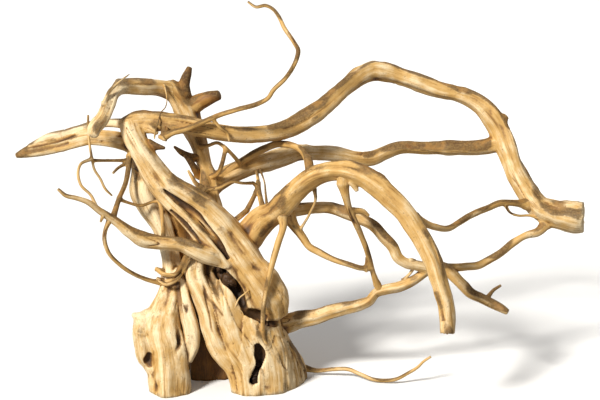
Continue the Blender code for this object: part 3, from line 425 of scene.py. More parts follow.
def lattice(cell: np.ndarray, seed: int) -> np.ndarray:
    """A fixed random value from 0 to 1 for each whole-number cell.

    Args:
        cell: rows of three whole numbers.
        seed: another seed gives other values.

    Returns:
        One value for each row.
    """
    mixed = (cell[:, 0] * 374761393 + cell[:, 1] * 668265263 + cell[:, 2] * 2147483647 + seed * 1274126177)
    mixed = mixed & 0xFFFFFFFF
    mixed = ((mixed ^ (mixed >> 13)) * 1274126177) & 0xFFFFFFFF
    mixed = ((mixed ^ (mixed >> 16)) * 668265263) & 0xFFFFFFFF
    return ((mixed ^ (mixed >> 15)) & 0xFFFFFF) / float(0xFFFFFF)


def noise(points: np.ndarray, size: Sequence[float], seed: int) -> np.ndarray:
    """Smooth random values from 0 to 1.

    Args:
        points: rows of three coordinates.
        size: the length of a cell along each coordinate.
        seed: another seed gives another pattern.

    Returns:
        One value for each row.
    """
    scaled = points / np.asarray(size)
    floor = np.floor(scaled)
    part = scaled - floor
    part = part * part * (3.0 - 2.0 * part)
    cell = floor.astype(np.int64)
    total = np.zeros(len(points))
    for corner in range(8):
        step = np.array((corner & 1, corner >> 1 & 1, corner >> 2 & 1))
        weight = np.prod(np.where(step, part, 1.0 - part), axis=1)
        total += weight * lattice(cell + step, seed)
    return total


def ridged(points: np.ndarray, size: Sequence[float], seed: int) -> np.ndarray:
    """Noise folded into sharp ridges: 1 along the ridges and 0 far from them."""
    return 1.0 - np.abs(2.0 * noise(points, size, seed) - 1.0)


class Strand:
    """One limb as a smooth path with a frame at every step, which can measure points around it."""

    STEP = 1.5
    REACH = 7.0
    BARK = 0.5
    BARK_RADII = (0.2, 1.9)
    SUNK = 0.35
    ROUND_TIP = 0.55
    STOUT = 3.0
    STOUT_FLARE = 0.7
    SLIM_FLARE = 0.25
    FLARE_RUN = 1.4
    RAGGED = 0.5
    SWELLS = (2, 3, 5)
    TWIST = 0.05
    MARGIN = 1.2
    TINY = 1e-6
    CHUNK = 30000

    def __init__(self, limb: Limb, rows: np.ndarray, seed: int, view: View, tone: Tone) -> None:
        """Lays frames along the path.

        Args:
            limb: the limb that this strand is.
            rows: X, Y, Z and radius along its path.
            seed: gives its swellings.
            view: the view in which its depth is stretched.
            tone: its colouring from root to tip.
        """
        self.limb = limb
        self.tone = tone
        self.away = view.away
        self.centres = rows[:, :3]
        self.radii = rows[:, 3]
        spans = np.linalg.norm(np.diff(self.centres, axis=0), axis=1)
        self.along = np.concatenate(([0.0], np.cumsum(spans)))
        tangents = np.gradient(self.centres, axis=0)
        self.tangents = tangents / np.linalg.norm(tangents, axis=1)[:, None]
        sides = []
        side = self.away
        for tangent in self.tangents:
            side = side - tangent * (side @ tangent)
            if np.linalg.norm(side) < self.TINY:
                side = np.cross(tangent, (1.0, 0.0, 0.0))
            side = side / np.linalg.norm(side)
            sides.append(side)
        self.sides = np.array(sides)
        self.others = np.cross(self.tangents, self.sides)
        draw = np.random.default_rng(seed)
        self.waves = [(count, draw.uniform(0.0, 2.0 * math.pi), draw.uniform(-self.TWIST, self.TWIST))
                      for count in self.SWELLS]

    @classmethod
    def path(cls, limb: Limb, view: View) -> np.ndarray:
        """The limb's smooth path before its ends are seated.

        Args:
            limb: its route is used.
            view: the view in which the route is laid.

        Returns:
            Rows of X, Y, Z and radius, a step apart.
        """
        stops = np.array(limb.route, dtype=float)
        bark = cls.BARK * smoothstep(*cls.BARK_RADII, stops[:, 3])
        rows = np.column_stack((view.place(stops[:, :3]), stops[:, 3] + bark))
        chords = np.linalg.norm(np.diff(rows[:, :3], axis=0), axis=1)
        times = np.concatenate(([0.0], np.cumsum(chords)))
        slopes = np.gradient(rows, times, axis=0, edge_order=1)
        run = []
        for index, chord in enumerate(chords):
            steps = max(1, math.ceil(chord / cls.STEP))
            for t in np.arange(steps) / steps:
                rise = t * t * (3.0 - 2.0 * t)
                run.append(rows[index] * (1.0 - rise) + rows[index + 1] * rise
                           + slopes[index] * chord * t * (1.0 - t) ** 2
                           - slopes[index + 1] * chord * t * t * (1.0 - t))
        run.append(rows[-1])
        return np.array(run)

    @classmethod
    def seated(cls, limb: Limb, path: np.ndarray, paths: dict) -> np.ndarray:
        """The path with its root and landing sunk into what carries them, and flared there.

        Args:
            limb: names the carriers.
            path: its smooth path.
            paths: every limb's path by name.

        Returns:
            The longer path.
        """
        for carrier, first in ((limb.grows_from, True), (limb.lands_on, False)):
            if not carrier:
                continue
            end = path[0] if first else path[-1]
            base = paths[carrier]
            near = base[np.argmin(np.linalg.norm(base[:, :3] - end[:3], axis=1))]
            reach = np.linalg.norm(path[:, :3] - near[:3], axis=1) - near[3]
            swell = cls.STOUT_FLARE if end[3] > cls.STOUT else cls.SLIM_FLARE
            flare = 1.0 + swell * np.exp(-np.maximum(reach, 0.0) / (cls.FLARE_RUN * end[3]))
            path = np.column_stack((path[:, :3], path[:, 3] * flare))
            sunk = near[:3] + (end[:3] - near[:3]) * cls.SUNK
            count = max(2, math.ceil(np.linalg.norm(end[:3] - sunk) / cls.STEP))
            share = np.linspace(0.0, 1.0, count, endpoint=False)[:, None]
            edge = path[0] if first else path[-1]
            lead = np.column_stack((sunk + (end[:3] - sunk) * share, np.full(count, edge[3])))
            path = np.vstack((lead, path)) if first else np.vstack((path, lead[::-1]))
        return path

    def girth(self, angle: np.ndarray, along: np.ndarray) -> np.ndarray:
        """How much the limb swells at an angle and a length."""
        swell = sum(np.cos(count * angle + phase + twist * along) for count, phase, twist in self.waves)
        return 1.0 + self.limb.gnarl * swell

    def tube(self, fineness: Fineness) -> tuple:
        """A closed tube around the path.

        Args:
            fineness: gives the ring spacing and the sides.

        Returns:
            Its points, and its faces as lists of point numbers.
        """
        count = max(3, round(self.along[-1] / fineness.ring) + 1)
        marks = np.linspace(0.0, self.along[-1], count)
        pick = [np.column_stack([np.interp(marks, self.along, rows[:, k]) for k in range(3)])
                for rows in (self.centres, self.sides, self.others)]
        radii = np.interp(marks, self.along, self.radii)
        angles = np.arange(fineness.sides) * 2.0 * math.pi / fineness.sides
        angle, along = np.meshgrid(angles, marks)
        girth = self.girth(angle, along) * radii[:, None]
        spokes = (pick[1][:, None, :] * np.cos(angle)[..., None]
                  + pick[2][:, None, :] * np.sin(angle)[..., None]) * girth[..., None]
        spokes += self.away * ((spokes @ self.away) * (self.limb.deep - 1.0))[..., None]
        points = (pick[0][:, None, :] + spokes).reshape(-1, 3)
        sides = fineness.sides
        faces = []
        for ring in range(count - 1):
            for step in range(sides):
                near, far = ring * sides + step, ring * sides + (step + 1) % sides
                faces.append((near, far, far + sides, near + sides))
        faces.append(tuple(range(sides - 1, -1, -1)))
        faces.append(tuple(range((count - 1) * sides, count * sides)))
        return points, faces

    def nearest(self, points: np.ndarray) -> np.ndarray:
        """The path step nearest to each point.

        Args:
            points: rows of X, Y and Z.

        Returns:
            One step number for each point.
        """
        squares = np.sum(self.centres**2, axis=1)
        found = [np.argmin(squares - 2.0 * points[start : start + self.CHUNK] @ self.centres.T, axis=1)
                 for start in range(0, len(points), self.CHUNK)]
        return np.concatenate(found) if found else np.zeros(0, int)

    def measure(self, points: np.ndarray, among: np.ndarray | None = None) -> tuple:
        """How points lie round the limb.

        Args:
            points: rows of X, Y and Z.
            among: the numbers of the points to measure, or None for all that its box holds.

        Returns:
            The numbers of the points that are near, their distance outside the limb, their grain
            coordinates (two round the limb and one along it), the limb's radius there, and their share of
            its length.
        """
        near = among
        if near is None:
            reach = float(np.max(self.radii)) * max(1.0, self.limb.deep) * self.MARGIN + self.REACH
            low = np.min(self.centres, axis=0) - reach
            high = np.max(self.centres, axis=0) + reach
            near = np.nonzero(np.all((points > low) & (points < high), axis=1))[0]
        close = points[near]
        step = self.nearest(close)
        offset = close - self.centres[step]
        lead = np.sum(offset * self.tangents[step], axis=1)
        radial = offset - self.tangents[step] * lead[:, None]
        radial -= self.away * ((radial @ self.away) * (1.0 - 1.0 / self.limb.deep))[:, None]
        length = self.along[step] + lead
        along = np.clip(length, 0.0, self.along[-1])
        width = np.linalg.norm(radial, axis=1)
        across = np.sum(radial * self.others[step], axis=1)
        angle = np.arctan2(across, np.sum(radial * self.sides[step], axis=1))
        radius = np.interp(along, self.along, self.radii)
        edge = radius * self.girth(angle, along)
        last = len(self.centres) - 1
        over = np.where(step == last, np.maximum(lead, 0.0), np.where(step == 0, np.maximum(-lead, 0.0), 0.0))
        gap = np.hypot(width, over / self.ROUND_TIP) - edge
        if self.limb.tip is Tip.SAWN:
            gap = np.where((step == last) & (over > 0.0), width - edge, gap)
            rim = self.RAGGED * (width / radius) ** 2 * np.cos(9.0 * angle + 2.0 * np.cos(4.0 * angle))
            gap = np.maximum(gap, length - self.along[-1] + rim)
        spoke = np.where(over > 0.0, np.minimum(width, radius), radius)
        grain = np.column_stack((np.cos(angle) * spoke, np.sin(angle) * spoke, along))
        return near, gap, grain, radius, along / max(self.along[-1], self.TINY)


class Growth:
    """All the strands of a skin, read together as one body with eased joints."""

    FAR = 60.0
    DEEP = -40.0
    TONE_DEEP = -6.0
    TONE_BLEND = 1.6
    GRAIN_SHIFT = 97.0
    CREASE = (0.5, 0.92)
    RIM = 0.45
    PIT_EDGE = (-0.3, 1.2)
    PIT_SHADE_DEPTH = (-0.4, 2.6)
    STROKE_EDGE = (-5.0, 3.0)
    STROKE_BARK = 0.9
    STROKE_DULL = 0.6

    def __init__(self, strands: Sequence[Strand], cutters: Sequence[Strand], strokes: Sequence[Strand],
                 blend: float, masses: dict | None = None) -> None:
        """Keeps what the skin grows from.

        Args:
            strands: the limbs.
            cutters: what is cut from them.
            strokes: where bark is left on them.
            blend: how far limbs ease into each other where they meet.
            masses: a name and a wider blend for each limb that melts into a broad mass with others.
        """
        self.strands = strands
        self.cutters = cutters
        self.strokes = strokes
        self.blend = blend
        self.masses = masses or {}

    def scope(self, points: np.ndarray) -> list:
        """Which points each strand and each cutter can touch.

        Args:
            points: rows of X, Y and Z.

        Returns:
            Point numbers for each strand, and then for each cutter.
        """
        found = []
        for strand in (*self.strands, *self.cutters):
            near, gap = strand.measure(points)[:2]
            found.append(near[gap < Strand.REACH])
        return found

    def read(self, points: np.ndarray, scope: list | None = None) -> Reading:
        """Measures points against every strand.

        Args:
            points: rows of X, Y and Z.
            scope: which points each strand and cutter can touch, or None to find out.

        Returns:
            The reading, with tones mixed between strands that meet.
        """
        count = len(points)
        scope = scope or [None] * (len(self.strands) + len(self.cutters))
        alone = ("", self.blend)
        members = [self.masses.get(strand.limb.name, alone) for strand in self.strands]
        totals = {mass: np.full(count, math.exp(-self.FAR / mass[1])) for mass in (alone, *members)}
        pale, bark, weights = np.zeros(count), np.zeros(count), np.full(count, 1e-12)
        best = np.full(count, self.FAR)
        grain, radius, limb = np.zeros((count, 3)), np.ones(count), np.full(count, -1)
        for index, strand in enumerate(self.strands):
            near, gap, coords, girth, share = strand.measure(points, scope[index])
            mass = members[index]
            totals[mass][near] += np.exp(-np.clip(gap, self.DEEP, self.FAR) / mass[1])
            tone = strand.tone
            soft = np.exp(-np.clip(gap, self.TONE_DEEP, self.FAR) / (self.blend * self.TONE_BLEND))
            weights[near] += soft
            pale[near] += soft * (tone.pale + (tone.pale_end - tone.pale) * share)
            bark[near] += soft * (tone.bark + (tone.bark_end - tone.bark) * share)
            closer = gap < best[near]
            chosen = near[closer]
            best[chosen] = gap[closer]
            grain[chosen] = coords[closer] + (0.0, 0.0, self.GRAIN_SHIFT * index)
            radius[chosen] = girth[closer]
            limb[chosen] = index
        total = totals.pop(alone)
        strongest = total.copy()
        for mass, own in totals.items():
            share = np.exp(np.clip(mass[1] * np.log(own), -self.FAR, -self.DEEP) / self.blend)
            total = total + share
            strongest = np.maximum(strongest, share)
        nearest = np.exp(-np.clip(best, self.DEEP, self.FAR) / self.blend)
        # How deep a point lies in a crease where strands meet; the carving paints it as shade.
        crease = 1.0 - smoothstep(*self.CREASE, np.maximum(strongest, nearest) / total)
        distance = -self.blend * np.log(total)
        inner_wood_and_shade = np.zeros(count)
        whole = distance.copy()
        for index, cutter in enumerate(self.cutters, len(self.strands)):
            near, gap = cutter.measure(points, scope[index])[:2]
            distance[near] = self.RIM * np.logaddexp(distance[near] / self.RIM, -gap / self.RIM)
            # Inside a cut hollow the colour darkens the deeper a point lies below the grown surface: partly
            # darker inner wood, partly painted shade in the hollow.
            inside = 1.0 - smoothstep(*self.PIT_EDGE, gap)
            inner_wood_and_shade[near] = np.maximum(inner_wood_and_shade[near], inside * smoothstep(*self.PIT_SHADE_DEPTH, -whole[near]))
        pale, bark = pale / weights, bark / weights
        for stroke in self.strokes:
            near, gap = stroke.measure(points)[:2]
            cover = 1.0 - smoothstep(*self.STROKE_EDGE, gap)
            bark[near] = np.maximum(bark[near], self.STROKE_BARK * cover)
            pale[near] *= 1.0 - self.STROKE_DULL * cover
        return Reading(distance, grain, radius, pale, bark, inner_wood_and_shade, crease, limb)


class Surface:
    """The carving of a skin: flutes, fine grain, lumps, cracks, knots and bark.

    Sizes are the lengths of a pattern's cells: two round the limb and one along it, or in space.
    """

    KNOT_GAP = 46.0
    PATCH = (16.0, 16.0, 16.0)
    PATCH_STREAK = (3.5, 3.5, 11.0)
    WARP = (13.0, 13.0, 13.0)
    FLUTE = (3.4, 3.4, 42.0)
    FINE = (1.5, 1.5, 18.0)
    LUMP = (13.0, 13.0, 16.0)
    BUMP = (5.0, 5.0, 7.0)
    CRACK = (4.6, 4.6, 70.0)
    CRACKED_ZONE = (9.0, 9.0, 30.0)
    THICK_RADIUS = 9.0
    CALM_RADII = (8.0, 12.0)
    CAP_EDGE = (0.5, 0.95)

    def __init__(self, relief: Relief, seed: int) -> None:
        """Keeps the heights and the seed of the patterns."""
        self.relief = relief
        self.seed = seed

    def bark_cover(self, points: np.ndarray, reading: Reading, normals: np.ndarray) -> np.ndarray:
        """How much dark bark crust is laid on points, from 0 to 1: real bark patches, and more on upward
        faces as painted shade on the tops.

        Args:
            points: rows of X, Y and Z.
            reading: the growth's reading of the points.
            normals: the way each point faces.

        Returns:
            One value for each point.
        """
        patch = 0.6 * noise(points, self.PATCH, self.seed + 3)
        patch += 0.4 * noise(reading.grain, self.PATCH_STREAK, self.seed + 4)
        # More dark crust on upward faces: painted shade on the tops of the limbs.
        upper = 0.26 * normals[:, 2] - 0.03
        return smoothstep(0.46, 0.66, patch + 0.62 * (reading.bark - 0.5) + upper)

    def knots(self, reading: Reading) -> np.ndarray:
        """Raised knots with a sunk middle, from -1 to 1.

        Args:
            reading: the growth's reading of the points.

        Returns:
            One value for each point.
        """
        along = reading.grain[:, 2] / self.KNOT_GAP
        cell = np.floor(along).astype(np.int64)
        key = np.column_stack((cell, reading.limb, np.zeros_like(cell)))
        where = lattice(key, self.seed + 11)
        angle = lattice(key, self.seed + 12) * 2.0 * math.pi
        size = 0.16 + 0.3 * lattice(key, self.seed + 13)
        gap_along = (along - cell - 0.2 - 0.6 * where) * self.KNOT_GAP
        spot = np.column_stack((np.cos(angle), np.sin(angle))) * reading.radius[:, None]
        gap_round = np.linalg.norm(reading.grain[:, :2] - spot, axis=1)
        reach = np.hypot(gap_along * 0.8, gap_round) / (size * reading.radius + 0.6)
        grown = smoothstep(0.35, 0.6, lattice(key, self.seed + 14))
        return grown * (np.exp(-reach**2) - 1.25 * np.exp(-((reach * 2.4) ** 2)))

    def carve(self, points: np.ndarray, reading: Reading, normals: np.ndarray) -> tuple:
        """The height of the carving and where it is dark.

        Args:
            points: rows of X, Y and Z.
            reading: the growth's reading of the points.
            normals: the way each point faces.

        Returns:
            The height, the bark cover, and the dark marks (real cracks and knot centres, and painted shade in
            creases and hollows), one value each for each point.
        """
        relief, grain, seed = self.relief, reading.grain, self.seed
        thick = np.clip(reading.radius / self.THICK_RADIUS, 0.18, 1.35)
        warp = 2.4 * (noise(points, self.WARP, seed + 1) - 0.5) * thick
        bent = grain + np.column_stack((warp, -warp, warp))
        flute = ridged(bent, self.FLUTE, seed + 5)
        fine = ridged(bent, self.FINE, seed + 6)
        lump = noise(points, self.LUMP, seed + 7) - 0.5
        bump = noise(points, self.BUMP, seed + 10) - 0.5
        crack = smoothstep(0.955, 0.995, ridged(bent, self.CRACK, seed + 8))
        crack *= smoothstep(0.56, 0.74, noise(grain, self.CRACKED_ZONE, seed + 9))
        side = smoothstep(*self.CAP_EDGE, reading.spoke)
        crack *= side
        cover = self.bark_cover(points, reading, normals) * (0.3 + 0.7 * side)
        knot = self.knots(reading) * side
        shallow = np.clip(thick, 0.0, 1.0) * (0.3 + 0.7 * side)
        thick *= 0.5 + 0.5 * side
        calm = 1.0 - 0.7 * smoothstep(*self.CALM_RADII, reading.radius)
        crack *= calm
        height = -relief.flute * thick * calm * flute**2.2 * (1.0 - 0.5 * cover)
        height -= relief.fine * shallow * calm * fine**2
        height += (relief.lump * lump + relief.bump * bump) * thick
        height -= relief.crack * shallow * crack
        height += relief.bark * cover * np.clip(thick * 1.6, 0.0, 1.0)
        height += relief.knot * knot * np.clip(thick, 0.0, 0.8) * calm
        # Dark marks: real dark cracks and knot centres, darker wood in the deepest flutes, and painted shade
        # in the creases where strands meet and inside the cut hollows.
        pits_and_shade = np.maximum(0.9 * crack, 0.2 * smoothstep(0.84, 0.97, flute) * shallow * calm)
        pits_and_shade = np.maximum(pits_and_shade, 0.62 * reading.crease)
        pits_and_shade = np.maximum(pits_and_shade, 0.7 * smoothstep(0.10, 0.26, -knot) * calm)
        return height, cover, np.maximum(pits_and_shade, reading.inner_wood_and_shade)


class Skin:
    """A grown skin: swept, melted into one body, eased, carved, thinned and marked for its colours."""

    STEP_LIMIT = 3.0
    BLOCK_WIDTH = 0.4
    BLOCK_DEPTH = 0.1
    EASE_ROUNDS = (2, 1, 1, 0)
    EASE_SHARE = 0.9
    SUNK_ROUNDS = 12
    BROAD_ROUNDS = 70
    # Ranges over which sunk parts are painted as shade, and over which raised parts and ends turn paler.
    SUNK_SHADE = (0.12, 0.55)
    BROAD_SHADE = (0.5, 1.6)
    RAISED_PALE = (0.05, 0.4)
    CAP_PALE = (0.5, 0.9)
    BROAD_SHADE_TONE = (0.15, 1.1)
    ROUGH_VOXEL = 1.1
    ON_FLOOR = 1e-6

    def __init__(self, name: str, growth: Growth, fineness: Fineness, surface: Surface) -> None:
        """Keeps what the skin is made from.

        Args:
            name: the piece's name.
            growth: the limbs as one body.
            fineness: how finely it is made.
            surface: its carving.
        """
        self.name = name
        self.growth = growth
        self.fineness = fineness
        self.surface = surface
        self.scope = []

    def swept(self) -> bpy.types.Object:
        """Every strand's tube in one object.

        Returns:
            The object, linked to the scene.
        """
        points, faces, base = [], [], 0
        for strand in self.growth.strands:
            own, sides = strand.tube(self.fineness)
            points.append(own)
            faces += [tuple(base + number for number in face) for face in sides]
            base += len(own)
        mesh = bpy.data.meshes.new(self.name)
        mesh.from_pydata((np.vstack(points) * MM).tolist(), [], faces)
        piece = bpy.data.objects.new(self.name, mesh)
        bpy.context.scene.collection.objects.link(piece)
        return piece

    @staticmethod
    def bake(piece: bpy.types.Object) -> None:
        """Applies the piece's modifiers.

        Args:
            piece: the skin's object.
        """
        seen = piece.evaluated_get(bpy.context.evaluated_depsgraph_get())
        mesh = bpy.data.meshes.new_from_object(seen)
        old = piece.data
        piece.modifiers.clear()
        piece.data = mesh
        mesh.name = piece.name
        bpy.data.meshes.remove(old)

    def melt(self, piece: bpy.types.Object) -> None:
        """Turns the tubes into one skin of even small faces.

        Args:
            piece: the skin's object.
        """
        voxel = self.fineness.voxel
        melt = piece.modifiers.new("melt", "REMESH")
        melt.mode = "VOXEL"
        melt.voxel_size = voxel * MM
        self.bake(piece)

    @staticmethod
    def points_of(piece: bpy.types.Object) -> np.ndarray:
        """The piece's points in millimetres.

        Args:
            piece: the skin's object.

        Returns:
            Rows of X, Y and Z.
        """
        flat = np.empty(len(piece.data.vertices) * 3, np.float32)
        piece.data.vertices.foreach_get("co", flat)
        return flat.reshape(-1, 3).astype(float) / MM

    @staticmethod
    def move_points(piece: bpy.types.Object, points: np.ndarray) -> None:
        """Writes the piece's points, given in millimetres."""
        piece.data.vertices.foreach_set("co", (points * MM).astype(np.float32).ravel())
        piece.data.update()

    @staticmethod
    def normals_of(piece: bpy.types.Object) -> np.ndarray:
        """The way each point of the piece faces.

        Args:
            piece: the skin's object.

        Returns:
            One unit vector for each point.
        """
        flat = np.empty(len(piece.data.vertices) * 3, np.float32)
        piece.data.vertex_normals.foreach_get("vector", flat)
        return flat.reshape(-1, 3).astype(float)

    @staticmethod
    def edges_of(piece: bpy.types.Object) -> np.ndarray:
        """The piece's edges as pairs of point numbers.

        Args:
            piece: the skin's object.

        Returns:
            One pair for each edge.
        """
        flat = np.empty(len(piece.data.edges) * 2, np.int32)
        piece.data.edges.foreach_get("vertices", flat)
        return flat.reshape(-1, 2)

    @staticmethod
    def smoothed(values: np.ndarray, edges: np.ndarray, rounds: int) -> np.ndarray:
        """Values averaged with those of their neighbours along the edges.

        Args:
            values: one row for each point.
            edges: pairs of point numbers.
            rounds: how many times they are averaged.

        Returns:
            The averaged values.
        """
        count = np.bincount(edges.ravel(), minlength=len(values)).astype(float)
        for _ in range(rounds):
            columns = [np.bincount(edges[:, 0], values[edges[:, 1], k], len(values))
                       + np.bincount(edges[:, 1], values[edges[:, 0], k], len(values))
                       for k in range(values.shape[1])]
            values = 0.5 * values + 0.5 * np.column_stack(columns) / count[:, None]
        return values

    def ease(self, piece: bpy.types.Object) -> None:
        """Moves the points onto the eased surface of the growth.

        Args:
            piece: the skin's object.
        """
        edges = self.edges_of(piece)
        self.scope = self.growth.scope(self.points_of(piece))
        for rounds in self.EASE_ROUNDS:
            points = self.smoothed(self.points_of(piece), edges, rounds)
            self.move_points(piece, points)
            reading = self.growth.read(points, self.scope)
            gap = np.clip(reading.distance, -self.STEP_LIMIT, self.STEP_LIMIT)
            self.move_points(piece, points - self.normals_of(piece) * gap[:, None] * self.EASE_SHARE)

    def carve(self, piece: bpy.types.Object) -> None:
        """Raises and sinks the surface.

        Args:
            piece: the skin's object.
        """
        points, normals = self.points_of(piece), self.normals_of(piece)
        height, _, _ = self.surface.carve(points, self.growth.read(points, self.scope), normals)
        self.move_points(piece, points + normals * height[:, None])

    def level(self, piece: bpy.types.Object) -> None:
        """Cuts the skin flat where it stands.

        Args:
            piece: the skin's object.
        """
        wide, deep = self.BLOCK_WIDTH, self.BLOCK_DEPTH
        corners = [(x, y, z) for x in (-wide, wide) for y in (-wide, wide) for z in (-deep, 0.0)]
        sides = [(0, 1, 3, 2), (4, 6, 7, 5), (0, 4, 5, 1), (2, 3, 7, 6), (0, 2, 6, 4), (1, 5, 7, 3)]
        mesh = bpy.data.meshes.new("floor_block")
        mesh.from_pydata(corners, [], sides)
        block = bpy.data.objects.new("floor_block", mesh)
        bpy.context.scene.collection.objects.link(block)
        cut = piece.modifiers.new("level", "BOOLEAN")
        cut.operation = "DIFFERENCE"
        cut.object = block
        cut.solver = "MANIFOLD"
        self.bake(piece)
        bpy.data.objects.remove(block)
        bpy.data.meshes.remove(mesh)

    def thin(self, piece: bpy.types.Object) -> None:
        """Keeps the faces where the shape needs them.

        Args:
            piece: the skin's object.
        """
        piece.data.calc_loop_triangles()
        count = len(piece.data.loop_triangles)
        if count > self.fineness.triangles:
            thin = piece.modifiers.new("thin", "DECIMATE")
            thin.ratio = self.fineness.triangles / count
            self.bake(piece)

    def settle(self, piece: bpy.types.Object) -> None:
        """Keeps every point above the floor, and shades all faces smooth but those that stand on it.

        Args:
            piece: the skin's object.
        """
        points = self.points_of(piece)
        points[:, 2] = np.maximum(points[:, 2], 0.0)
        self.move_points(piece, points)
        piece.data.shade_smooth()
        flat = [max(piece.data.vertices[number].co.z for number in face.vertices) < self.ON_FLOOR
                for face in piece.data.polygons]
        piece.data.polygons.foreach_set("use_smooth", [not low for low in flat])

    def mark(self, piece: bpy.types.Object) -> None:
        """Writes the grain coordinates and the colour marks that the material reads, with painted shade in
        the sunk parts.

        Args:
            piece: the skin's object.
        """
        points, normals = self.points_of(piece), self.normals_of(piece)
        reading = self.growth.read(points)
        _, cover, pits_and_shade = self.surface.carve(points, reading, normals)
        edges = self.edges_of(piece)
        # Painted shade: points sunk below their smoothed neighbours, at a fine and a broad scale, turn darker
        # and honey-brown; raised points and limb ends turn paler.
        near = self.smoothed(points, edges, self.SUNK_ROUNDS)
        broad = np.sum((self.smoothed(near, edges, self.BROAD_ROUNDS) - points) * normals, axis=1)
        sunk = np.sum((near - points) * normals, axis=1)
        pits_and_shade = np.maximum(pits_and_shade, 0.8 * smoothstep(*self.SUNK_SHADE, sunk))
        pale = reading.pale + 0.25 * smoothstep(*self.RAISED_PALE, -sunk)
        pale += 0.25 * (1.0 - smoothstep(*self.CAP_PALE, reading.spoke))
        pale -= 0.65 * smoothstep(*self.BROAD_SHADE_TONE, broad)
        pits_and_shade = np.maximum(pits_and_shade, 0.34 * smoothstep(*self.BROAD_SHADE, broad))
        marks = self.smoothed(np.column_stack((pale, cover, pits_and_shade)), edges, 1)
        for name, rows in (("grain", reading.grain), ("marks", marks)):
            layer = piece.data.attributes.new(name, "FLOAT_VECTOR", "POINT")
            layer.data.foreach_set("vector", rows.astype(np.float32).ravel())

    def build(self) -> bpy.types.Object:
        """Makes the skin.

        Returns:
            The finished piece, without its material.
        """
        piece = self.swept()
        self.melt(piece)
        self.ease(piece)
        self.carve(piece)
        self.level(piece)
        self.thin(piece)
        self.settle(piece)
        self.mark(piece)
        piece.data.calc_loop_triangles()
        LOG.info("%s: %d triangles", self.name, len(piece.data.loop_triangles))
        return piece


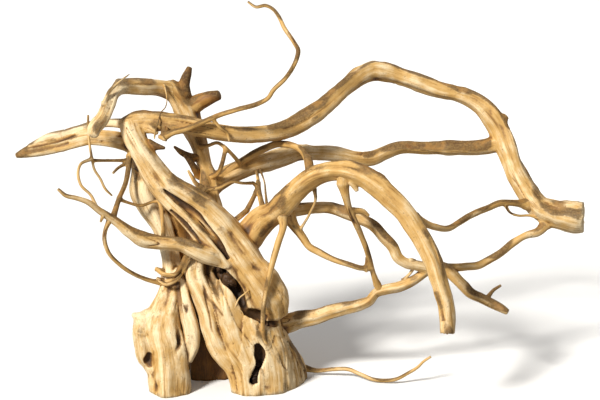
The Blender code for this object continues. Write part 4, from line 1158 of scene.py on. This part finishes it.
class Driftwood:
    """The whole piece of root wood: its stump and limbs as one skin, and its rootlets as another."""

    TONES = {
        "leg": Tone(0.35, 0.12, 0.45, 0.1), "leg_lobe": Tone(0.35, 0.18, 0.4, 0.35),
        "leg_spur": Tone(0.6, 0.2, 0.6, 0.3), "leg_strand": Tone(0.6, 0.2, 0.7, 0.15),
        "pale_trunk": Tone(0.45, 0.1, 0.8, 0.05), "spine": Tone(0.6, 0.2, 0.15, 0.2),
        "front_strand": Tone(0.4, 0.25, 0.25, 0.25), "left_ridge": Tone(0.45, 0.1, 0.35, 0.15),
        "middle_ridge": Tone(0.4, 0.1, 0.3, 0.15), "right_ridge": Tone(0.35, 0.15, 0.45, 0.15),
        "right_heel": Tone(0.4, 0.2, 0.35, 0.35), "apron": Tone(0.4, 0.12, 0.55, 0.15),
        # The back wall and rib, and the recess and neck behind them, are strongly darkened: partly darker
        # inner wood, partly painted shade of the hollow.
        "back_wall": Tone(-1.2, 0.4, -1.2, 0.4), "back_rib": Tone(-1.2, 0.4, -1.2, 0.4),
        "recess_back": Tone(-0.5, 0.35, -1.1, 0.4), "neck_back": Tone(-0.5, 0.35, -1.1, 0.4),
        "back_buttress": Tone(0.3, 0.35, 0.3, 0.4), "back_flank": Tone(0.3, 0.35, 0.3, 0.4),
        "upper_limb": Tone(0.1, 0.38, 0.4, 0.12), "arch_limb": Tone(0.0, 0.36, 0.3, 0.28),
        "middle_limb": Tone(0.3, 0.15, 0.3, 0.25), "rear_riser": Tone(0.25, 0.4, 0.25, 0.4),
        "yoke": Tone(0.35, 0.3, 0.3, 0.35), "hooked_limb": Tone(0.3, 0.3, 1.0, 0.32),
        "left_spar": Tone(0.2, 0.3, 0.4, 0.15), "spar_strand": Tone(0.9, 0.25, 0.9, 0.15),
        "horn": Tone(-1.5, 0.5, -2.6, 0.6), "stub": Tone(0.6, 0.2, -1.4, 0.5),
        "side_root": Tone(0.1, 0.5, 0.5, 0.2), "spine_stub": Tone(-2.2, 0.5, -2.6, 0.7),
        "upper_claw": Tone(0.0, 0.5, -1.4, 0.8), "lower_claw": Tone(0.0, 0.5, -1.4, 0.8),
        "under_limb": Tone(0.35, 0.25, 0.3, 0.38), "dark_branch": Tone(0.1, 0.6, 0.1, 0.6),
        "fork": Tone(0.15, 0.5, 0.1, 0.65), "low_branch": Tone(0.45, 0.2, 0.2, 0.45),
    }
    TWIG_TONE = Tone(0.25, 0.42, 0.2, 0.5)
    MASSES = {
        "left_ridge": ("body", 4.0), "middle_ridge": ("body", 4.0), "right_ridge": ("body", 4.0),
        "right_heel": ("body", 4.0), "apron": ("body", 4.0), "leg": ("leg", 3.0), "leg_lobe": ("leg", 3.0),
        "leg_spur": ("leg", 3.0), "back_wall": ("rear", 3.0), "back_rib": ("rear", 3.0),
        "back_buttress": ("rear", 3.0), "recess_back": ("rear", 3.0), "neck_back": ("rear", 3.0),
        "back_flank": ("rear", 3.0),
    }

    def __init__(self, view: View) -> None:
        """Lays the strands of the body, of the rootlets and of what is cut out.

        Args:
            view: the view the routes are laid in.
        """
        self.view = view
        paths = {limb.name: Strand.path(limb, view) for limb in (*STUMP, *LIMBS, *KNOBS, *TWIGS)}
        self.body = [self.strand(limb, paths, seed) for seed, limb in enumerate((*STUMP, *LIMBS, *KNOBS))]
        self.rootlets = [self.strand(limb, paths, seed) for seed, limb in enumerate(TWIGS, len(self.body))]
        self.cutters, self.strokes = (
            [Strand(limb, Strand.path(limb, view), 0, view, self.TWIG_TONE) for limb in table]
            for table in (HOLLOWS, BARK_STROKES))

    def strand(self, limb: Limb, paths: dict, seed: int) -> Strand:
        """One limb as a strand, seated in what carries it."""
        rows = Strand.seated(limb, paths[limb.name], paths)
        return Strand(limb, rows, seed, self.view, self.TONES.get(limb.name, self.TWIG_TONE))

    def skins(self) -> tuple:
        """The two skins, ready to be built.

        Returns:
            The body's skin and the rootlets' skin.
        """
        trunk = Skin("grown_body", Growth(self.body, self.cutters, self.strokes, 1.2, self.MASSES),
                     Fineness(0.62, 195000), Surface(Relief(), 100))
        fine = Relief(flute=0.5, fine=0.2, lump=0.8, crack=0.5, bark=0.25, knot=1.6)
        twigs = Skin("rootlets", Growth(self.rootlets, (), (), 0.5), Fineness(0.5, 120000, 1.5, 16),
                     Surface(fine, 500))
        return trunk, twigs


@dataclass(frozen=True)
class Palette:
    """The wood's colours."""

    ash: tuple = (0.60, 0.50, 0.36, 1.0)
    cream: tuple = (0.88, 0.72, 0.46, 1.0)
    tan: tuple = (0.61, 0.372, 0.122, 1.0)
    honey: tuple = (0.37, 0.180, 0.040, 1.0)
    rust: tuple = (0.20, 0.088, 0.024, 1.0)
    olive: tuple = (0.175, 0.105, 0.036, 1.0)
    umber: tuple = (0.075, 0.034, 0.011, 1.0)
    # Near black: painted shade for the deepest hollows, creases and cracks.
    hollow_shade: tuple = (0.016, 0.007, 0.003, 1.0)


class Net:
    """Writes nodes and links into one node tree."""

    def __init__(self, tree: bpy.types.NodeTree) -> None:
        """Keeps the tree."""
        self.tree = tree

    def node(self, kind: str, links: dict | None = None, **settings: object) -> bpy.types.Node:
        """Adds a node.

        Args:
            kind: the node's type.
            links: input number or name to a socket or a constant.
            settings: the node's own settings.

        Returns:
            The node.
        """
        made = self.tree.nodes.new(kind)
        for key, value in settings.items():
            setattr(made, key, value)
        for key, value in (links or {}).items():
            if isinstance(value, bpy.types.NodeSocket):
                self.tree.links.new(value, made.inputs[key])
            elif value is not None:
                made.inputs[key].default_value = value
        return made

    def math(self, operation: str, first: object, second: object) -> object:
        """The result of one sum on values."""
        made = self.node("ShaderNodeMath", {0: first, 1: second}, operation=operation)
        return made.outputs[0]

    def mix(self, share: object, first: object, second: object) -> object:
        """A colour between two."""
        made = self.node("ShaderNodeMix", {0: share, 6: first, 7: second}, data_type="RGBA")
        return made.outputs[2]

    def step(self, value: object, low: float, high: float, start: float = 0.0, end: float = 1.0) -> object:
        """An eased change from start to end while the value goes from low to high.

        Args:
            value: the socket to read.
            low: where the change begins.
            high: where it is complete.
            start: the result at low.
            end: the result at high.

        Returns:
            The result's socket.
        """
        made = self.node("ShaderNodeMapRange", {0: value, 1: low, 2: high, 3: start, 4: end},
                         interpolation_type="SMOOTHSTEP")
        return made.outputs[0]

    def stretch(self, vector: object, factors: tuple) -> object:
        """A vector with each coordinate scaled."""
        return self.node("ShaderNodeVectorMath", {0: vector, 1: factors}, operation="MULTIPLY").outputs[0]

    def noise(self, vector: object, scale: float, detail: float = 3.0, rough: float = 0.55) -> object:
        """Noise from 0 to 1.

        Args:
            vector: the coordinates.
            scale: how small the pattern is.
            detail: how many finer layers it has.
            rough: how strong these are.

        Returns:
            The noise's socket.
        """
        made = self.node("ShaderNodeTexNoise",
                         {"Vector": vector, "Scale": scale, "Detail": detail, "Roughness": rough})
        return made.outputs[0]


class Group:
    """A shader node group with named inputs and outputs."""

    def __init__(self, name: str, inputs: dict, outputs: dict) -> None:
        """Makes the group's sockets.

        Args:
            name: the group's name.
            inputs: socket name to its type.
            outputs: socket name to its type.
        """
        self.tree = bpy.data.node_groups.new(name, "ShaderNodeTree")
        for label, kind in inputs.items():
            self.tree.interface.new_socket(label, in_out="INPUT", socket_type=kind)
        for label, kind in outputs.items():
            self.tree.interface.new_socket(label, in_out="OUTPUT", socket_type=kind)
        self.net = Net(self.tree)
        self.entry = self.net.node("NodeGroupInput").outputs
        self.exit = self.net.node("NodeGroupOutput").inputs

    def give(self, **results: object) -> bpy.types.NodeTree:
        """Links results to the outputs of the same names.

        Args:
            results: output name to the socket it gets.

        Returns:
            The group's tree.
        """
        for label, socket in results.items():
            self.tree.links.new(socket, self.exit[label])
        return self.tree


FLOAT, VECTOR, COLOUR = "NodeSocketFloat", "NodeSocketVector", "NodeSocketColor"


class Finishes:
    """The groups that the wood's materials share."""

    def __init__(self, palette: Palette) -> None:
        """Makes each group once.

        Args:
            palette: the wood's colours.
        """
        self.palette = palette
        self.grain = self.grain_group()
        self.stain = self.stain_group()
        self.timber = self.timber_group()

    def grain_group(self) -> bpy.types.NodeTree:
        """Streaks and pores that run along the limbs.

        Returns:
            The group's tree.
        """
        group = Group("grain", {"Grain": VECTOR}, {"Streak": FLOAT, "Fibre": FLOAT, "Height": FLOAT})
        net = group.net
        grain = group.entry["Grain"]
        streak = net.noise(net.stretch(grain, (0.42, 0.42, 0.028)), 1.0, 4.0, 0.6)
        fibre = net.noise(net.stretch(grain, (1.7, 1.7, 0.11)), 1.0, 4.0, 0.65)
        pore = net.noise(net.stretch(grain, (2.6, 2.6, 0.5)), 1.0, 2.0, 0.5)
        height = net.math("ADD", net.math("MULTIPLY", fibre, 0.75), net.math("MULTIPLY", streak, 0.45))
        height = net.math("SUBTRACT", height, net.step(pore, 0.66, 0.78, 0.0, 0.3))
        return group.give(Streak=streak, Fibre=fibre, Height=height)

    def stain_group(self) -> bpy.types.NodeTree:
        """Broad warm and dull stains, and small flecks.

        Returns:
            The group's tree.
        """
        group = Group("stain", {"Place": VECTOR}, {"Broad": FLOAT, "Mid": FLOAT, "Fleck": FLOAT})
        net = group.net
        place = group.entry["Place"]
        broad = net.noise(place, 26.0, 3.0, 0.55)
        mid = net.noise(place, 95.0, 4.0, 0.6)
        fleck = net.noise(place, 620.0, 2.0, 0.6)
        return group.give(Broad=broad, Mid=mid, Fleck=fleck)

    def timber_group(self) -> bpy.types.NodeTree:
        """The colour, roughness and relief of the wood from its marks.

        Returns:
            The group's tree.
        """
        colours = self.palette
        group = Group("timber", {"Marks": VECTOR, "Grain": VECTOR, "Place": VECTOR, "Pallor": FLOAT},
                      {"Colour": COLOUR, "Rough": FLOAT, "Height": FLOAT})
        net = group.net
        marks = net.node("ShaderNodeSeparateXYZ", {0: group.entry["Marks"]}).outputs
        grain = net.node("ShaderNodeGroup", {}, node_tree=self.grain)
        stain = net.node("ShaderNodeGroup", {}, node_tree=self.stain)
        group.tree.links.new(group.entry["Grain"], grain.inputs["Grain"])
        group.tree.links.new(group.entry["Place"], stain.inputs["Place"])
        streak, fibre = grain.outputs["Streak"], grain.outputs["Fibre"]
        broad, mid, fleck = (stain.outputs[name] for name in ("Broad", "Mid", "Fleck"))
        tone = net.math("ADD", net.math("MULTIPLY", marks[0], 0.62), net.math("MULTIPLY", mid, 0.6))
        tone = net.math("ADD", tone, net.math("MULTIPLY", net.math("SUBTRACT", streak, 0.6), 0.75))
        tone = net.math("ADD", tone, net.math("MULTIPLY", broad, 0.35))
        tone = net.math("MULTIPLY", tone, group.entry["Pallor"])
        wood = net.mix(net.step(tone, 0.18, 0.58), colours.honey, colours.tan)
        wood = net.mix(net.step(tone, 0.52, 1.0), wood, colours.cream)
        wood = net.mix(net.step(tone, 0.95, 1.35), wood, colours.ash)
        wood = net.mix(net.step(tone, -0.25, 0.15, 0.85, 0.0), wood, colours.rust)
        wood = net.mix(net.step(tone, -0.60, -0.05, 0.92, 0.0), wood, colours.umber)
        wood = net.mix(net.step(fibre, 0.55, 0.36, 0.0, 0.30), wood, colours.honey)
        wood = net.mix(net.step(streak, 0.44, 0.30, 0.0, 0.6), wood, colours.rust)
        crust = net.mix(net.step(fleck, 0.40, 0.62), colours.umber, colours.olive)
        crust = net.mix(net.step(mid, 0.48, 0.66, 0.0, 0.6), crust, colours.honey)
        edge = net.math("ADD", marks[1], net.math("MULTIPLY", net.math("SUBTRACT", fleck, 0.5), 0.9))
        edge = net.math("ADD", edge, net.math("MULTIPLY", net.math("SUBTRACT", fibre, 0.5), 1.1))
        wood = net.mix(net.step(edge, 0.15, 0.95, 0.0, 0.88), wood, crust)
        specks = net.step(net.math("ADD", fleck, net.math("MULTIPLY", mid, 0.5)), 0.90, 1.02, 0.0, 0.5)
        wood = net.mix(specks, wood, colours.olive)
        # The dark mark turns the wood rust, umber and near black: real cracks and knot centres, and painted
        # shade in creases and hollows.
        dark = net.math("ADD", marks[2], net.math("MULTIPLY", net.math("SUBTRACT", fleck, 0.5), 0.35))
        wood = net.mix(net.step(dark, 0.05, 0.45, 0.0, 0.75), wood, colours.rust)
        wood = net.mix(net.step(dark, 0.30, 0.75, 0.0, 0.7), wood, colours.umber)
        wood = net.mix(net.step(dark, 0.50, 1.0, 0.0, 0.9), wood, colours.hollow_shade)
        rough = net.math("ADD", net.step(fibre, 0.3, 0.7, 0.66, 0.48), net.math("MULTIPLY", marks[1], 0.2))
        crusty = net.math("MULTIPLY", fleck, net.math("MULTIPLY", marks[1], 1.1))
        height = net.math("ADD", grain.outputs["Height"], crusty)
        return group.give(Colour=wood, Rough=rough, Height=height)


@dataclass(frozen=True)
class WoodFinish:
    """One wood material: how pale it may turn and how strong its fine relief is."""

    name: str
    pallor: float
    bump: float
    depth: float = 0.0006
    gloss: float = 0.35

    def make(self, finishes: Finishes) -> bpy.types.Material:
        """Makes the material.

        Args:
            finishes: the shared groups.

        Returns:
            The material.
        """
        material = bpy.data.materials.new(self.name)
        material.use_nodes = True
        net = Net(material.node_tree)
        shader = material.node_tree.nodes["Principled BSDF"]
        marks = net.node("ShaderNodeAttribute", attribute_name="marks").outputs["Vector"]
        grain = net.node("ShaderNodeAttribute", attribute_name="grain").outputs["Vector"]
        place = net.node("ShaderNodeTexCoord").outputs["Object"]
        timber = net.node("ShaderNodeGroup", {}, node_tree=finishes.timber)
        for label, socket in (("Marks", marks), ("Grain", grain), ("Place", place)):
            material.node_tree.links.new(socket, timber.inputs[label])
        timber.inputs["Pallor"].default_value = self.pallor
        bump = net.node("ShaderNodeBump", {"Strength": self.bump, "Distance": self.depth,
                                           "Height": timber.outputs["Height"]})
        links = material.node_tree.links
        links.new(timber.outputs["Colour"], shader.inputs["Base Color"])
        links.new(timber.outputs["Rough"], shader.inputs["Roughness"])
        links.new(bump.outputs["Normal"], shader.inputs["Normal"])
        shader.inputs["Specular IOR Level"].default_value = self.gloss
        return material


class Studio:
    """The pale floor, the soft lights and the camera."""

    LENS = 105.0
    SENSOR = 36.0
    SHIFT = (-0.5, 0.0, 0.5)
    FLOOR_SIZE = 12.0
    BOUNCE = 0.35
    SEEN = 0.93
    FLOOR_ROUGH = 0.9
    SUN_FROM = (-0.8, -0.85, 0.9)
    SUN_POWER = 4.7
    SUN_WIDTH = 12.0
    SUN_TINT = (1.0, 0.97, 0.91)
    RIM_SPOT = (0.8, 1.1, 0.9)
    RIM_AIM = (0.0, 0.0, 0.14)
    RIM_POWER = 5.0
    RIM_SIZE = 0.9
    RIM_TINT = (1.0, 0.97, 0.92)
    SKY = 0.28

    def __init__(self, view: View) -> None:
        """Keeps the view that the camera takes."""
        self.view = view

    def camera(self) -> None:
        """Sets the camera at the photograph's angle, with half a millimetre of shift to fit its framing."""
        target = (self.view.middle + np.array(self.SHIFT)) * MM
        data = bpy.data.cameras.new("front_camera")
        data.lens = self.LENS
        data.sensor_width = self.SENSOR
        data.sensor_fit = "HORIZONTAL"
        camera = bpy.data.objects.new("front_camera", data)
        bpy.context.scene.collection.objects.link(camera)
        away = Vector(self.view.away)
        camera.location = Vector(target) - away * (self.view.distance * MM)
        camera.rotation_euler = away.to_track_quat("-Z", "Y").to_euler()
        bpy.context.scene.camera = camera

    def floor(self) -> None:
        """A wide white floor."""
        half = self.FLOOR_SIZE / 2.0
        mesh = bpy.data.meshes.new("floor")
        mesh.from_pydata([(-half, -half, 0.0), (half, -half, 0.0), (half, half, 0.0), (-half, half, 0.0)],
                         [], [(0, 1, 2, 3)])
        floor = bpy.data.objects.new("floor", mesh)
        bpy.context.scene.collection.objects.link(floor)
        material = bpy.data.materials.new("pale_floor")
        material.use_nodes = True
        shader = material.node_tree.nodes["Principled BSDF"]
        net = Net(material.node_tree)
        seen = net.node("ShaderNodeLightPath").outputs["Is Camera Ray"]
        shade = net.mix(seen, (*[self.BOUNCE] * 3, 1.0), (*[self.SEEN] * 3, 1.0))
        material.node_tree.links.new(shade, shader.inputs["Base Color"])
        shader.inputs["Roughness"].default_value = self.FLOOR_ROUGH
        shader.inputs["Specular IOR Level"].default_value = 0.0
        mesh.materials.append(material)

    @staticmethod
    def lamp(name: str, kind: str, origin: Vector, power: float, tint: tuple) -> bpy.types.Object:
        """A lamp whose light comes from one side.

        Args:
            name: its name.
            kind: its type.
            origin: the way that its light comes from.
            power: its strength.
            tint: its colour.

        Returns:
            The lamp's object.
        """
        data = bpy.data.lights.new(name, kind)
        data.energy = power
        data.color = tint
        lamp = bpy.data.objects.new(name, data)
        bpy.context.scene.collection.objects.link(lamp)
        lamp.rotation_euler = origin.to_track_quat("Z", "Y").to_euler()
        return lamp

    def lights(self) -> None:
        """A low sun from the front left, and a soft light from behind."""
        sun = self.lamp("sun", "SUN", Vector(self.SUN_FROM), self.SUN_POWER, self.SUN_TINT)
        sun.data.angle = math.radians(self.SUN_WIDTH)
        origin = Vector(self.RIM_SPOT) - Vector(self.RIM_AIM)
        rim = self.lamp("rim", "AREA", origin, self.RIM_POWER, self.RIM_TINT)
        rim.data.size = self.RIM_SIZE
        rim.location = self.RIM_SPOT

    def build(self) -> None:
        """Makes the stage."""
        self.floor()
        self.lights()
        world = bpy.data.worlds.new("studio")
        world.use_nodes = True
        back = world.node_tree.nodes["Background"]
        back.inputs["Color"].default_value = (1.0, 1.0, 1.0, 1.0)
        back.inputs["Strength"].default_value = self.SKY
        bpy.context.scene.world = world
        bpy.context.scene.view_settings.view_transform = "Standard"
        self.camera()


def main() -> None:
    """Loads the frame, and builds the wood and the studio."""
    logging.basicConfig(level=logging.INFO, format="%(name)s: %(message)s")
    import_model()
    view = View()
    finishes = Finishes(Palette())
    coats = (WoodFinish("body_wood", 1.0, 0.55), WoodFinish("rootlet_wood", 0.95, 0.6))
    for skin, coat in zip(Driftwood(view).skins(), coats):
        piece = skin.build()
        piece.data.materials.clear()
        piece.data.materials.append(coat.make(finishes))
        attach(piece, BODY)
        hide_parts(NODE)
        LOG.info("%s is dressed", piece.name)
    Studio(view).build()


if __name__ == "__main__":
    main()
